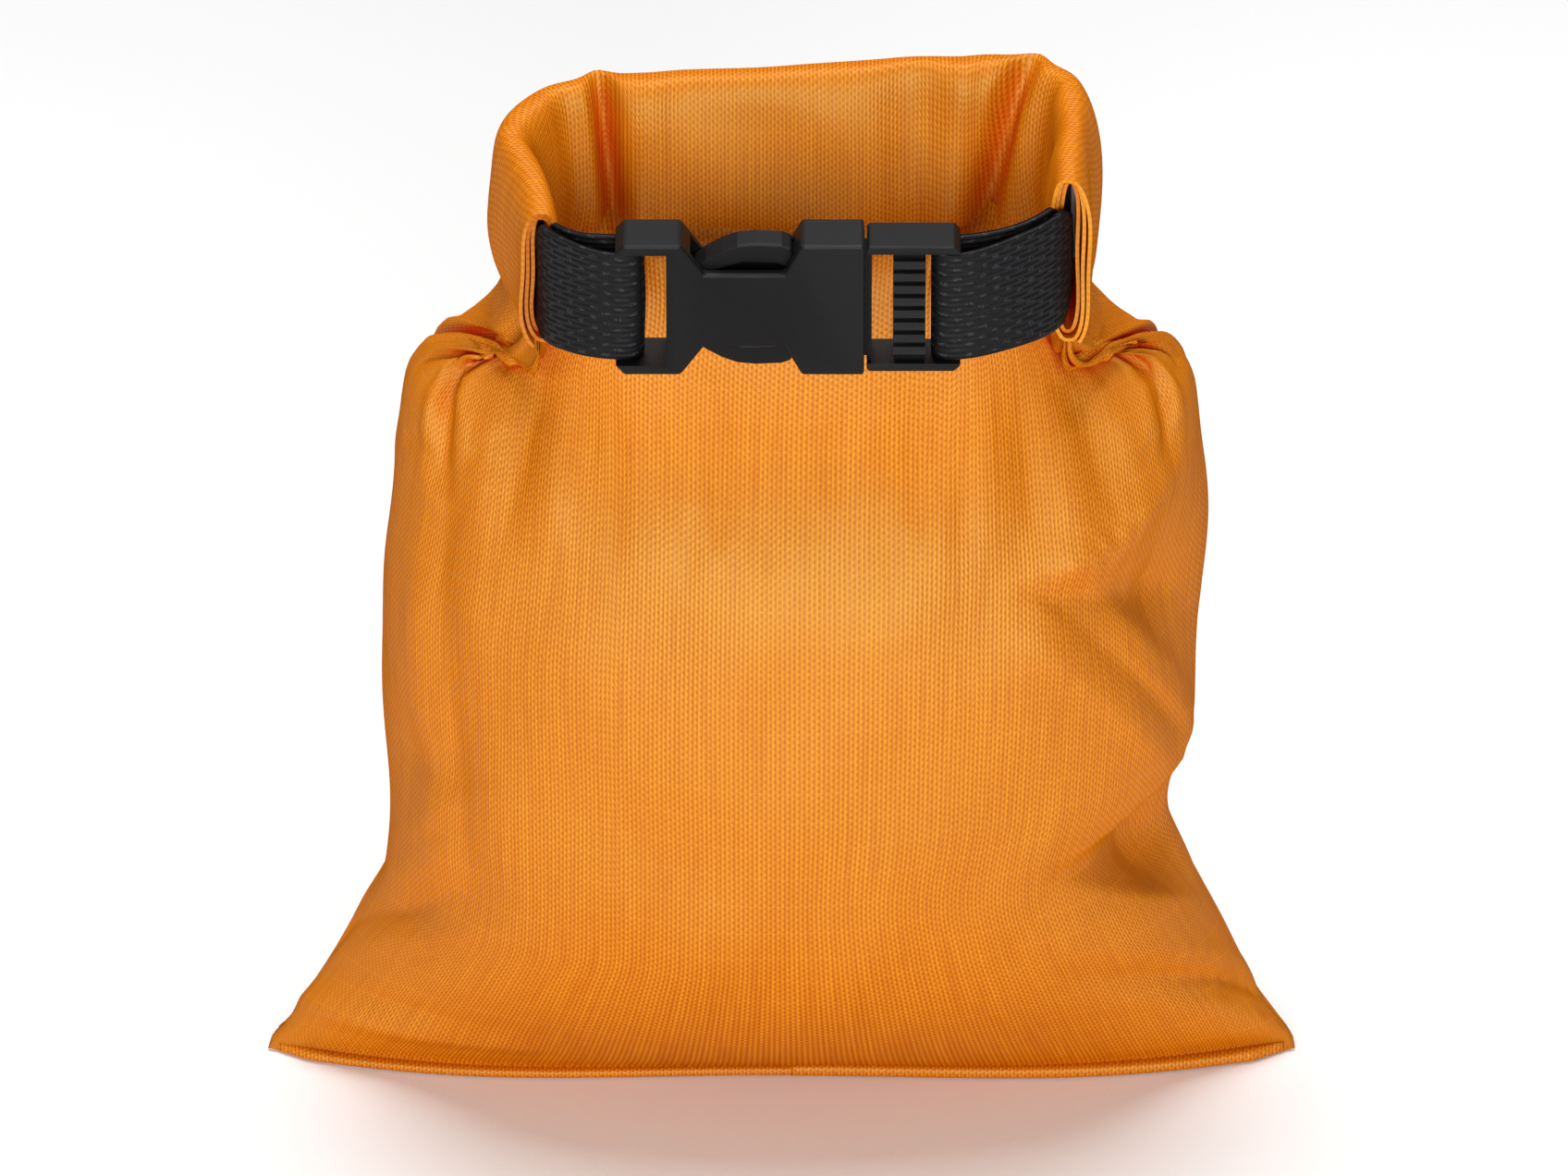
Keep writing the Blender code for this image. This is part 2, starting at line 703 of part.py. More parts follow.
def main():
    clear_scene()
    fabric = make_material("orange_fabric", (0.83, 0.29, 0.03), 0.55)
    inner_tape = make_material("clear_seam_tape", (0.80, 0.74, 0.62), 0.35)
    stiffener = make_material("white_strip_plastic", (0.80, 0.80, 0.78), 0.45)
    webbing = make_material("black_webbing", (0.02, 0.02, 0.022), 0.80)
    plastic = make_material("black_acetal", (0.018, 0.018, 0.019), 0.42)

    build_bag(fabric)
    build_bottom_hem(fabric)
    build_back_tape(inner_tape)
    build_bottom_tape(inner_tape)

    cut = COLLAR_HINGE
    build_collar("collar_back", -cut + GAP / 2, cut - GAP / 2, fabric)
    build_strip(
        "stiffener_back",
        -cut + GAP,
        cut - GAP,
        STIFFENER_HALF_HEIGHT,
        STIFFENER_THICKNESS,
        STIFFENER_OFFSET,
        stiffener,
    )
    end = collar_half_length()
    hinge_y = COLLAR_BACK_Y + COLLAR_HALF_THICKNESS
    for side, word in ((-1, "left"), (1, "right")):
        arm = make_hinge(f"hinge_collar_{word}", (COLLAR_CENTRE_X + side * cut, hinge_y, COLLAR_BACK_Z))
        swing = make_hinge(f"hinge_buckle_{word}", webbing_end(side), arm)
        attach(build_collar(f"collar_{word}", side * (cut + GAP / 2), side * end, fabric), arm)
        strip = build_strip(
            f"stiffener_{word}",
            side * (cut + GAP),
            side * (end - STIFFENER_END_TRIM),
            STIFFENER_HALF_HEIGHT,
            STIFFENER_THICKNESS,
            STIFFENER_OFFSET,
            stiffener,
        )
        attach(strip, arm)
        tail = build_strip(
            f"webbing_tail_{word}",
            side * (end - TAIL_LENGTH),
            side * (end - TAIL_END_TRIM),
            TAIL_HALF_HEIGHT,
            TAIL_THICKNESS,
            TAIL_OFFSET,
            webbing,
        )
        attach(tail, arm)
        if side < 0:
            bar_x = BUCKLE_LEFT_X + SOCKET_BAR / 2
            pieces = [build_socket(plastic)]
        else:
            bar_x = BUCKLE_LEFT_X + (OUTER_BAR_START + PLUG_END) / 2
            prongs = [build_prong("prong_upper", 1, plastic), build_prong("prong_lower", -1, plastic)]
            pieces = [build_plug(plastic), *prongs]
        pieces.append(build_webbing(f"webbing_{word}", side, bar_x, webbing))
        for piece in pieces:
            attach(piece, swing)


main()
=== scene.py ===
"""Looks of the roll-top dry bag: coated ripstop fabric, rolled mouth, webbing and buckle."""

import json
import math

import bmesh
import bpy
import numpy as np
from mathutils import Matrix, Vector


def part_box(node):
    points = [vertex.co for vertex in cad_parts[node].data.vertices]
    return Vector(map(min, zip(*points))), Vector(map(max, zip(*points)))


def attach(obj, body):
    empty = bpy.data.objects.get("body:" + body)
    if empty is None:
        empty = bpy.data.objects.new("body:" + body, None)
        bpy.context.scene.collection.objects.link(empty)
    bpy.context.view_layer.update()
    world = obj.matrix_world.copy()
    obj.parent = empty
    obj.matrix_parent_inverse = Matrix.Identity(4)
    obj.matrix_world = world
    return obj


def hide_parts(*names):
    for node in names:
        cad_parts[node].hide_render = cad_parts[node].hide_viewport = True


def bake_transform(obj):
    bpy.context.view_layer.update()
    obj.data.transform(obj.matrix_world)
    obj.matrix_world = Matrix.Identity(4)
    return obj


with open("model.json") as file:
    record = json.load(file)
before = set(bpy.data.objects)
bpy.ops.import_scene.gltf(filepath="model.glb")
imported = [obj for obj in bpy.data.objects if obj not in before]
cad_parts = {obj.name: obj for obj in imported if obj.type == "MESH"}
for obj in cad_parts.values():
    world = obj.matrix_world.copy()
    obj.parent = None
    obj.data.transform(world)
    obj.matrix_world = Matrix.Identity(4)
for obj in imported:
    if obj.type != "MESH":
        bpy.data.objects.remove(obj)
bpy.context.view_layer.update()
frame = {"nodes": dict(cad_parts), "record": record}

MM = 0.001

# ---------------------------------------------------------------- places taken from the frame

JOINTS = {joint["name"]: joint for joint in frame["record"]["behaviour"]["joints"]}
ROLL_LOW, ROLL_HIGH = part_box("collar_back")
HINGE_RIGHT = np.array(JOINTS["roll_open_right"]["pos_m"])
HINGE_LEFT = np.array(JOINTS["roll_open_left"]["pos_m"])
SWING_RIGHT = np.array(JOINTS["plug_swing"]["pos_m"])
SWING_LEFT = np.array(JOINTS["socket_swing"]["pos_m"])
ROLL_CENTRE_X = (HINGE_LEFT[0] + HINGE_RIGHT[0]) / 2
ROLL_BACK_Y = (ROLL_LOW[1] + ROLL_HIGH[1]) / 2

# ---------------------------------------------------------------- bag tube

FLAT_HALF = 85 * MM  # half the width of the tube laid flat, so a quarter of its girth
COLUMNS = 160
ROWS = 76
FABRIC = 0.35 * MM
BODY_DETAIL = 2  # points of the finished cloth for each point of the simulated one
BEFORE_CLOTH = 0.45  # share of the creases' depth pressed in before the cloth simulation
AFTER_CLOTH = 0.70  # and after it
RUMPLE = 0.32 * MM

# Filled shape: height, half width left and right, half depth, middle Y, lens power, neck share
STATIONS = np.array((
    (0.0, 84.8, 84.8, 11.0, 4.0, 1.90, 0.00),
    (2.5, 84.0, 84.2, 13.0, 4.0, 1.85, 0.00),
    (6.0, 81.6, 82.6, 18.0, 3.0, 1.75, 0.00),
    (14.0, 77.2, 78.4, 27.0, 2.0, 1.50, 0.00),
    (25.0, 70.4, 72.8, 34.0, 1.0, 1.20, 0.00),
    (34.0, 65.6, 68.2, 37.0, 0.0, 1.00, 0.00),
    (45.0, 65.0, 64.2, 38.6, 0.0, 0.90, 0.00),
    (60.0, 65.2, 68.2, 39.2, 0.0, 0.82, 0.00),
    (85.0, 65.4, 69.6, 38.5, 0.0, 0.80, 0.00),
    (105.0, 64.2, 70.6, 35.0, 1.0, 0.84, 0.03),
    (120.0, 64.0, 70.5, 28.5, 3.0, 0.92, 0.10),
    (128.0, 64.0, 70.0, 20.5, 6.0, 0.96, 0.26),
    (134.0, 58.0, 66.0, 13.0, 9.0, 1.00, 0.60),
    (139.0, 52.0, 58.0, 7.5, 11.0, 1.00, 0.88),
    (148.0, 50.0, 52.0, 2.2, 13.0, 1.00, 1.00),
)) * np.array((MM, MM, MM, MM, MM, 1.0, 1.0))
SEAM_WAVE = 4.5 * MM
SEAM_WAVE_LENGTH = 120 * MM
SEAM_WAVE_FADE = 14 * MM
NECK_FALL = 0.35  # how far the neck drops for each metre that it comes forward
FINE_ROWS = 500
SEAM_GAP = 0.5 * MM

# Rolled mouth in plan: straight back, quarter bends and arms
BACK_HALF = 27.8 * MM
BEND_RADIUS = 16 * MM
ARM = 21 * MM
REACH = BACK_HALF + BEND_RADIUS * math.pi / 2 + ARM
NECK_TRIM = 6 * MM
LEFT_END_PINCH = 3.4 * MM
PINCH_LENGTH = 22 * MM
LOBE = 1.6 * MM  # outward bulge of the bends
LOBE_PLACE = 0.7
LOBE_LENGTH = 15 * MM

# Folds down the roll, in mm: distance along it at the top and at the bottom, inward depth, half width
ROLL_FOLDS = (
    (-31.0, -28.5, 5.4, 2.0),
    (-38.0, -35.0, 1.6, 3.2),
    (-23.0, -25.0, -0.9, 3.0),
    (-52.0, -44.0, 1.0, 4.0),
    (19.0, 18.0, 1.6, 4.6),
    (37.0, 29.0, 5.2, 2.4),
    (44.0, 40.0, 1.5, 3.0),
    (27.0, 24.0, -1.0, 2.6),
    (58.0, 52.0, 0.9, 4.0),
    (1.0, -3.0, 0.5, 5.0),
)


def smooth_step(low, high, value):
    """0 below low, 1 above high, and a smooth S between them."""
    t = np.clip((value - low) / (high - low), 0.0, 1.0)
    return t * t * (3 - 2 * t)


def read_stations(height):
    """Every column of STATIONS at these heights, on monotone cubic curves."""
    places = STATIONS[:, 0]
    table = STATIONS[:, 1:]
    steps = np.diff(places)[:, None]
    secants = np.diff(table, axis=0) / steps
    slopes = np.zeros_like(table)
    product = secants[:-1] * secants[1:]
    harmonic = 2 * product / np.where(product > 0, secants[:-1] + secants[1:], 1.0)
    slopes[1:-1] = np.where(product > 0, harmonic, 0.0)
    k = np.clip(np.searchsorted(places, height, side="right") - 1, 0, len(places) - 2)
    span = (places[k + 1] - places[k])[..., None]
    t = (height[..., None] - places[k][..., None]) / span
    return (
        (2 * t**3 - 3 * t**2 + 1) * table[k]
        + (t**3 - 2 * t**2 + t) * slopes[k] * span
        + (3 * t**2 - 2 * t**3) * table[k + 1]
        + (t**3 - t**2) * slopes[k + 1] * span
    )


def roll_path(distance):
    """Plan of the rolled mouth at signed distances from its back: x, y and the inward normal."""
    distance = np.asarray(distance, float)
    side = np.where(distance < 0, -1.0, 1.0)
    run = np.abs(distance)
    bend = BEND_RADIUS * math.pi / 2
    turn = np.clip((run - BACK_HALF) / BEND_RADIUS, 0.0, math.pi / 2)
    arm = np.maximum(run - BACK_HALF - bend, 0.0)
    x = np.minimum(run, BACK_HALF) + BEND_RADIUS * np.sin(turn)
    y = -BEND_RADIUS * (1 - np.cos(turn)) - arm
    normal = np.stack((-side * np.sin(turn), -np.cos(turn)), -1)
    pinch = np.where(side < 0, LEFT_END_PINCH, 0.0) * smooth_step(REACH - PINCH_LENGTH, REACH, run)
    lobe = LOBE * np.exp(-(((run - BACK_HALF - bend * LOBE_PLACE) / LOBE_LENGTH) ** 2))
    return ROLL_CENTRE_X + side * (x + lobe) + pinch, ROLL_BACK_Y + y, normal


def fold_push(distance, level):
    """How far the folds press the roll inwards, at a distance along it and a level from -1 to 1."""
    push = np.zeros(np.broadcast(distance, level).shape)
    for top, bottom, deep, wide in ROLL_FOLDS:
        middle = ((top + bottom) / 2 + (top - bottom) / 2 * level) * MM
        push = push + deep * MM * np.exp(-(((distance - middle) / (wide * MM)) ** 2))
    return push


def bag_points(turn, height):
    """Filled bag surface: turn 0 is the left fold, a quarter is the front, a half the right fold."""
    left, right, depth, middle, power, neck = np.moveaxis(read_stations(height), -1, 0)
    across = -np.cos(2 * math.pi * turn)
    sine = np.sin(2 * math.pi * turn)
    lens = np.sign(sine) * np.abs(sine) ** power
    half = np.where(across < 0, left, right)
    x = half * across
    wave_share = np.clip(1 - height / SEAM_WAVE_FADE, 0.0, 1.0)
    wave = SEAM_WAVE * wave_share * (1 - np.cos(2 * math.pi * x / SEAM_WAVE_LENGTH)) / 2
    y = middle - wave - depth * lens
    path_x, path_y, normal = roll_path((REACH - NECK_TRIM) * across)
    offset = depth * lens - fold_push((REACH - NECK_TRIM) * across, -1.0) * smooth_step(-0.3, 0.5, lens)
    neck_x = path_x + normal[..., 0] * offset
    neck_y = path_y + normal[..., 1] * offset
    x = x + (neck_x - x) * neck
    y = y + (neck_y - y) * neck
    z = height - neck * NECK_FALL * (ROLL_BACK_Y - y)
    return np.stack((x, y, z), -1)


def bag_grid():
    """The tube as (rows + 1, columns) points, evenly spaced up the fabric, and its flat pattern."""
    turn = np.arange(COLUMNS) / COLUMNS
    fine = np.linspace(0.0, 1.0, FINE_ROWS)[:, None] * STATIONS[-1, 0] * np.ones((1, COLUMNS))
    surface = bag_points(turn[None, :], fine)
    seam = bag_points(turn[None, :], np.zeros((1, COLUMNS)))[0]
    back = turn > 0.5
    mirror = (COLUMNS - np.arange(COLUMNS)) % COLUMNS
    seam[back] = seam[mirror[back]]
    surface = np.concatenate((seam[None], surface[1:]))
    steps = np.linalg.norm(np.diff(surface, axis=0), axis=2)
    length = np.concatenate((np.zeros((1, COLUMNS)), np.cumsum(steps, axis=0)))
    grid = np.empty((ROWS + 1, COLUMNS, 3))
    for column in range(COLUMNS):
        wanted = np.linspace(0.0, length[-1, column], ROWS + 1)
        for axis in range(3):
            grid[:, column, axis] = np.interp(wanted, length[:, column], surface[:, column, axis])
    share = np.arange(ROWS + 1)[:, None] / ROWS
    across = np.where(turn <= 0.5, 4 * turn - 1, 3 - 4 * turn)
    flat = np.empty_like(grid)
    flat[..., 0] = FLAT_HALF * across
    flat[..., 1] = np.where(turn <= 0.5, -SEAM_GAP, SEAM_GAP)
    flat[..., 2] = share * length[-1]
    return grid, flat, length[-1]


def make_mesh(name, points, faces, smooth=True):
    """A new mesh object in the scene."""
    mesh = bpy.data.meshes.new(name)
    corners = [tuple(int(corner) for corner in face) for face in faces]
    mesh.from_pydata([tuple(point) for point in np.asarray(points, float)], [], corners)
    mesh.polygons.foreach_set("use_smooth", [smooth] * len(mesh.polygons))
    mesh.update()
    obj = bpy.data.objects.new(name, mesh)
    bpy.context.scene.collection.objects.link(obj)
    return obj


def tube_faces(rows, columns):
    """Quads of a grid that closes round its columns, wound to face out of the bag."""
    faces = []
    for row in range(rows):
        for column in range(columns):
            after = (column + 1) % columns
            a = row * columns + column
            b = row * columns + after
            faces.append((a, b, b + columns, a + columns))
    return faces


# ---------------------------------------------------------------- cloth simulation

CLOTH_FRAMES = 40
CLOTH_SCALE = 10.0  # the simulation runs at ten times the size, where its defaults hold
CLOTH_CAP = 12 * MM
HOLD_MIDDLE = 0.003
HOLD_ENDS = 0.96
HOLD_SEAM = 0.04
HOLD_NECK = 0.94


def simulate_bag(grid, flat):
    """Lets the filled tube settle as cloth cut to its flat size, and returns the settled grid."""
    tube = make_mesh("cloth_trial", grid.reshape(-1, 3) * CLOTH_SCALE, tube_faces(ROWS, COLUMNS))
    tube.shape_key_add(name="Basis")
    cut = tube.shape_key_add(name="flat_cut")
    cut.data.foreach_set("co", (flat.reshape(-1, 3) * CLOTH_SCALE).ravel())
    height = np.repeat(np.arange(ROWS + 1) / ROWS, COLUMNS)
    hold = HOLD_MIDDLE + HOLD_ENDS * (1 - smooth_step(0.0, HOLD_SEAM, height))
    hold = hold + HOLD_ENDS * smooth_step(HOLD_NECK, 1.0, height)
    held = tube.vertex_groups.new(name="held")
    for index, weight in enumerate(np.clip(hold, 0.0, 1.0)):
        held.add([index], float(weight), "REPLACE")
    cloth = tube.modifiers.new("Cloth", "CLOTH")
    settings = cloth.settings
    settings.quality = 6
    settings.mass = 0.2
    settings.tension_stiffness = 30
    settings.compression_stiffness = 20
    settings.shear_stiffness = 10
    settings.bending_stiffness = 0.05
    settings.air_damping = 2
    settings.vertex_group_mass = "held"
    settings.pin_stiffness = 1.0
    settings.rest_shape_key = cut
    settings.use_pressure = True
    settings.uniform_pressure_force = 4.0
    settings.effector_weights.gravity = 0.0
    cloth.collision_settings.use_collision = False
    cloth.point_cache.frame_start = 1
    cloth.point_cache.frame_end = CLOTH_FRAMES
    scene = bpy.context.scene
    for step in range(1, CLOTH_FRAMES + 1):
        scene.frame_set(step)
    evaluated = tube.evaluated_get(bpy.context.evaluated_depsgraph_get())
    settled = np.empty(len(tube.data.vertices) * 3)
    evaluated.data.vertices.foreach_get("co", settled)
    settled = settled.reshape(grid.shape) / CLOTH_SCALE
    scene.frame_set(1)
    bpy.data.objects.remove(tube, do_unlink=True)
    move = settled - grid
    far = np.linalg.norm(move, axis=2, keepdims=True)
    return grid + move * np.minimum(1.0, CLOTH_CAP / np.maximum(far, 1e-9))


# ---------------------------------------------------------------- creases sculpted into the tube

# Creases: start and end in x and z, depth, half width, side of the bag (-1 front, 1 back).
# A negative depth is a ridge.
CREASES = (
    ((43, 97), (65, 66), 2.4, 3.0, -1),
    ((44, 99), (62, 109), -0.9, 3.0, -1),
    ((-54, 116), (-55, 84), 1.5, 3.6, -1),
    ((-55, 86), (-51, 40), 1.9, 4.2, -1),
    ((-50, 44), (-72, 22), 1.4, 3.6, -1),
    ((-80, 9), (-42, 8), -1.3, 2.4, -1),
    ((50, 25), (82, 8), 1.8, 3.2, -1),
    ((50, 51), (36, 30), 0.8, 4.0, -1),
    ((-41, 137), (-59, 128), 3.0, 2.2, -1),
    ((-40, 133), (-52, 123), -2.0, 2.0, -1),
    ((-40, 131), (-56, 112), 3.2, 2.6, -1),
    ((-37, 129), (-44, 106), 1.4, 3.4, -1),
    ((-33, 128), (-28, 110), 0.9, 4.0, -1),
    ((47, 137), (66, 128), 3.0, 2.0, -1),
    ((46, 134), (60, 124), -2.2, 2.0, -1),
    ((45, 132), (63, 115), 3.6, 2.4, -1),
    ((43, 130), (54, 106), 1.2, 3.2, -1),
    ((38, 128), (40, 108), 1.0, 3.6, -1),
    ((20, 130), (24, 116), 0.8, 3.4, -1),
    ((-12, 130), (-10, 118), 0.7, 3.2, -1),
    ((-30, 60), (-8, 48), 0.5, 6.0, -1),
    ((8, 84), (28, 92), 0.5, 5.0, -1),
    ((46, 138), (62, 112), 3.0, 2.8, 1),
    ((-42, 138), (-60, 114), 3.0, 2.8, 1),
    ((24, 138), (34, 100), 2.0, 3.2, 1),
    ((-18, 138), (-26, 108), 1.8, 3.0, 1),
    ((-64, 100), (-34, 62), 2.2, 4.2, 1),
    ((66, 84), (38, 52), 2.2, 4.2, 1),
    ((56, 34), (80, 10), 1.8, 3.5, 1),
    ((-56, 36), (-80, 10), 1.8, 3.5, 1),
)

# Darts pressed in from the side folds: apex, and the two ends on the fold, in x and z, depth, side
DARTS = (
    ((38, 99), (72, 115), (72, 58), 8.8, -1),
    ((44, 46), (72, 66), (72, 28), 7.8, -1),
    ((-46, 63), (-70, 82), (-70, 38), 2.4, -1),
    ((-34, 86), (-72, 104), (-72, 70), 4.5, 1),
    ((36, 62), (76, 80), (76, 44), 4.5, 1),
)


def grid_normals(grid):
    """Outward unit normals of a tube grid."""
    up = np.gradient(grid, axis=0)
    round_it = np.roll(grid, -1, axis=1) - np.roll(grid, 1, axis=1)
    normal = np.cross(round_it, up)
    return normal / np.maximum(np.linalg.norm(normal, axis=2, keepdims=True), 1e-12)


def cloth_place(grid, pattern, point, side):
    """Where a point given in x and z mm lies on the fabric's flat pattern, in metres."""
    half = grid.shape[1] // 2
    columns = slice(0, half + 1) if side < 0 else slice(half, None)
    gap = np.linalg.norm(grid[:, columns][..., (0, 2)] - np.array(point) * MM, axis=2)
    row, column = np.unravel_index(gap.argmin(), gap.shape)
    return pattern[:, columns][row, column]


DART_STEEP = 2.6
DART_END = 1.02
DART_END_STEEP = 2.4


def dart_depth(place, apex, first, second, deep):
    """A valley that is zero along both sides from its apex and deepest between them."""
    sides = np.array((first - apex, second - apex)).T
    shares = (place - apex) @ np.linalg.inv(sides).T
    inside = np.maximum(np.minimum(shares[..., 0], shares[..., 1]), 0.0)
    end = np.clip(DART_END_STEEP * (DART_END - shares.sum(-1)), 0.0, 1.0)
    return deep * MM * np.minimum(DART_STEEP * inside, 1.0) * end


CREASE_ROUND = 0.06
CREASE_SHARP = 1.35
CREASE_PEAK = 1.25
LIP_HEIGHT = 0.30
LIP_PLACE = 2.2
LIP_SHARP = 1.4
CREASE_END = 0.25


def crease_profile(gap):
    """Depth across a crease: a sharp valley with a low lip on each side, gap in half widths."""
    valley = np.exp(-np.sqrt(gap**2 + CREASE_ROUND) * CREASE_SHARP) * CREASE_PEAK
    return valley - LIP_HEIGHT * np.exp(-((gap - LIP_PLACE) ** 2) * LIP_SHARP)


def rumple_depth(x, z):
    """Slight unevenness all over the filled part, from places in mm."""
    waves = np.sin(x / 6.3 + z / 12.1 + 0.6) * np.sin(z / 9.7 - x / 15.0)
    waves += 0.6 * np.sin(x / 3.9 - z / 7.1)
    return RUMPLE * waves * smooth_step(8, 30, z) * (1 - smooth_step(108, 125, z))


def crease_bag(grid, lengths, share):
    """Presses the creases and the darts into a tube grid, measured along the fabric."""
    normal = grid_normals(grid)
    rows, columns = grid.shape[:2]
    pattern = np.empty((rows, columns, 2))
    pattern[..., 0] = np.arange(columns) * 4 * FLAT_HALF / columns
    pattern[..., 1] = np.linspace(0, 1, rows)[:, None] * lengths
    depth = np.zeros((rows, columns))
    for start, end, deep, wide, side in CREASES:
        start = cloth_place(grid, pattern, start, side)
        along = cloth_place(grid, pattern, end, side) - start
        offset = pattern - start
        t = (offset @ along) / (along @ along)
        nearest = np.clip(t, 0.0, 1.0)
        gap = np.linalg.norm(offset - nearest[..., None] * along, axis=2) / (wide * MM)
        arch = np.sin(math.pi * np.clip(nearest, 0.02, 0.98)) ** 0.6
        taper = CREASE_END + (1 - CREASE_END) * arch
        depth += deep * MM * crease_profile(gap) * taper
    for apex, first, second, deep, side in DARTS:
        corners = [cloth_place(grid, pattern, corner, side) for corner in (apex, first, second)]
        depth += dart_depth(pattern, *corners, deep)
    depth += rumple_depth(grid[..., 0] / MM, grid[..., 2] / MM)
    return grid - normal * depth[..., None] * share


# ---------------------------------------------------------------- materials


class Shader:
    """A node material with short names for making its nodes."""

    def __init__(self, name):
        self.material = bpy.data.materials.new(name)
        self.material.use_nodes = True
        self.tree = self.material.node_tree
        self.surface = self.tree.nodes["Principled BSDF"]

    def node(self, kind, **settings):
        made = self.tree.nodes.new("ShaderNode" + kind)
        for key, value in settings.items():
            setattr(made, key, value)
        return made

    def link(self, source, target):
        self.tree.links.new(source, target)

    def put(self, value, socket):
        if isinstance(value, (int, float)):
            socket.default_value = value
        else:
            self.link(value, socket)

    def math(self, operation, first, second=0.0):
        made = self.node("Math", operation=operation)
        self.put(first, made.inputs[0])
        self.put(second, made.inputs[1])
        return made.outputs[0]

    def mix(self, share, first, second):
        """A colour between two, which are colours or sockets."""
        made = self.node("Mix", data_type="RGBA")
        self.put(share, made.inputs["Factor"])
        for value, socket in ((first, made.inputs["A"]), (second, made.inputs["B"])):
            if isinstance(value, tuple):
                socket.default_value = (*value, 1.0)
            else:
                self.link(value, socket)
        return made.outputs["Result"]

    def noise(self, scale, detail=3.0, roughness=0.5, coordinates=None):
        made = self.node("TexNoise")
        made.inputs["Scale"].default_value = scale
        made.inputs["Detail"].default_value = detail
        made.inputs["Roughness"].default_value = roughness
        self.link(coordinates or self.object_place(), made.inputs["Vector"])
        return made.outputs["Fac"]

    def object_place(self):
        return self.node("TexCoord").outputs["Object"]

    def pattern_place(self):
        """(u, v) of the flat pattern, in metres."""
        split = self.node("SeparateXYZ")
        self.link(self.node("UVMap", uv_map="flat").outputs["UV"], split.inputs[0])
        return split.outputs["X"], split.outputs["Y"]

    def wave(self, place, pitch):
        """0 to 1 and back once in every pitch."""
        sine = self.math("SINE", self.math("MULTIPLY", place, 2 * math.pi / pitch))
        return self.math("ADD", self.math("MULTIPLY", sine, 0.5), 0.5)

    def checker(self, u, v, across, along):
        """Staggered crossings of two threads, 0 to 1: two in every repeat of `across` by `along`."""
        first = self.math("SINE", self.math("MULTIPLY", u, 2 * math.pi / across))
        second = self.math("SINE", self.math("MULTIPLY", v, 2 * math.pi / along))
        both = self.node("Math", operation="MULTIPLY_ADD")
        self.link(self.math("MULTIPLY", first, second), both.inputs[0])
        both.inputs[1].default_value = 0.5
        both.inputs[2].default_value = 0.5
        return both.outputs[0]

    def gloss_falloff(self, strongest):
        """Gloss that is strongest face on and fades towards a grazing view, as a matt weave's does."""
        edge = self.node("LayerWeight")
        edge.inputs["Blend"].default_value = 0.5
        facing = self.math("SUBTRACT", 1.0, edge.outputs["Facing"])
        return self.math("MULTIPLY", self.math("POWER", facing, GLOSS_FADE), strongest)

    def bump(self, height, distance, strength=1.0, normal=None):
        made = self.node("Bump")
        made.inputs["Distance"].default_value = distance
        made.inputs["Strength"].default_value = strength
        self.link(height, made.inputs["Height"])
        if normal:
            self.link(normal, made.inputs["Normal"])
        return made.outputs["Normal"]

    def finish(self, colour=None, roughness=None, normal=None, **fixed):
        for value, name in ((colour, "Base Color"), (roughness, "Roughness"), (normal, "Normal")):
            if value is not None:
                self.put(value, self.surface.inputs[name])
        for name, value in fixed.items():
            self.surface.inputs[name.replace("_", " ")].default_value = value
        return self.material


WARP_THREADS = 548  # round the whole tube, so that the weave meets itself
WARP_PITCH = 4 * FLAT_HALF / WARP_THREADS
WEFT_PITCH = 0.58 * MM
RIPSTOP = 5.2 * MM
GLOSS_FADE = 3.2
# Weave colours: the valleys carry painted shade and the thread tops a painted highlight, over the
# threads' own streaky tone
VALLEY_PAINTED_SHADE = (0.42, 0.055, 0.001)
VALLEY_PAINTED_SHADE_WARM = (0.48, 0.072, 0.001)
THREAD_HIGHLIGHT_DULL = (0.58, 0.155, 0.003)
THREAD_HIGHLIGHT_BRIGHT = (0.87, 0.340, 0.011)
RIPSTOP_LINE = (0.92, 0.34, 0.03)
# Painted shade: deep red laid into folds and hollows, for the red light that gathers there
PAINTED_FOLD_SHADE = (0.62, 0.012, 0.004)
SATIN_TINT = (1.0, 0.95, 0.34, 1.0)


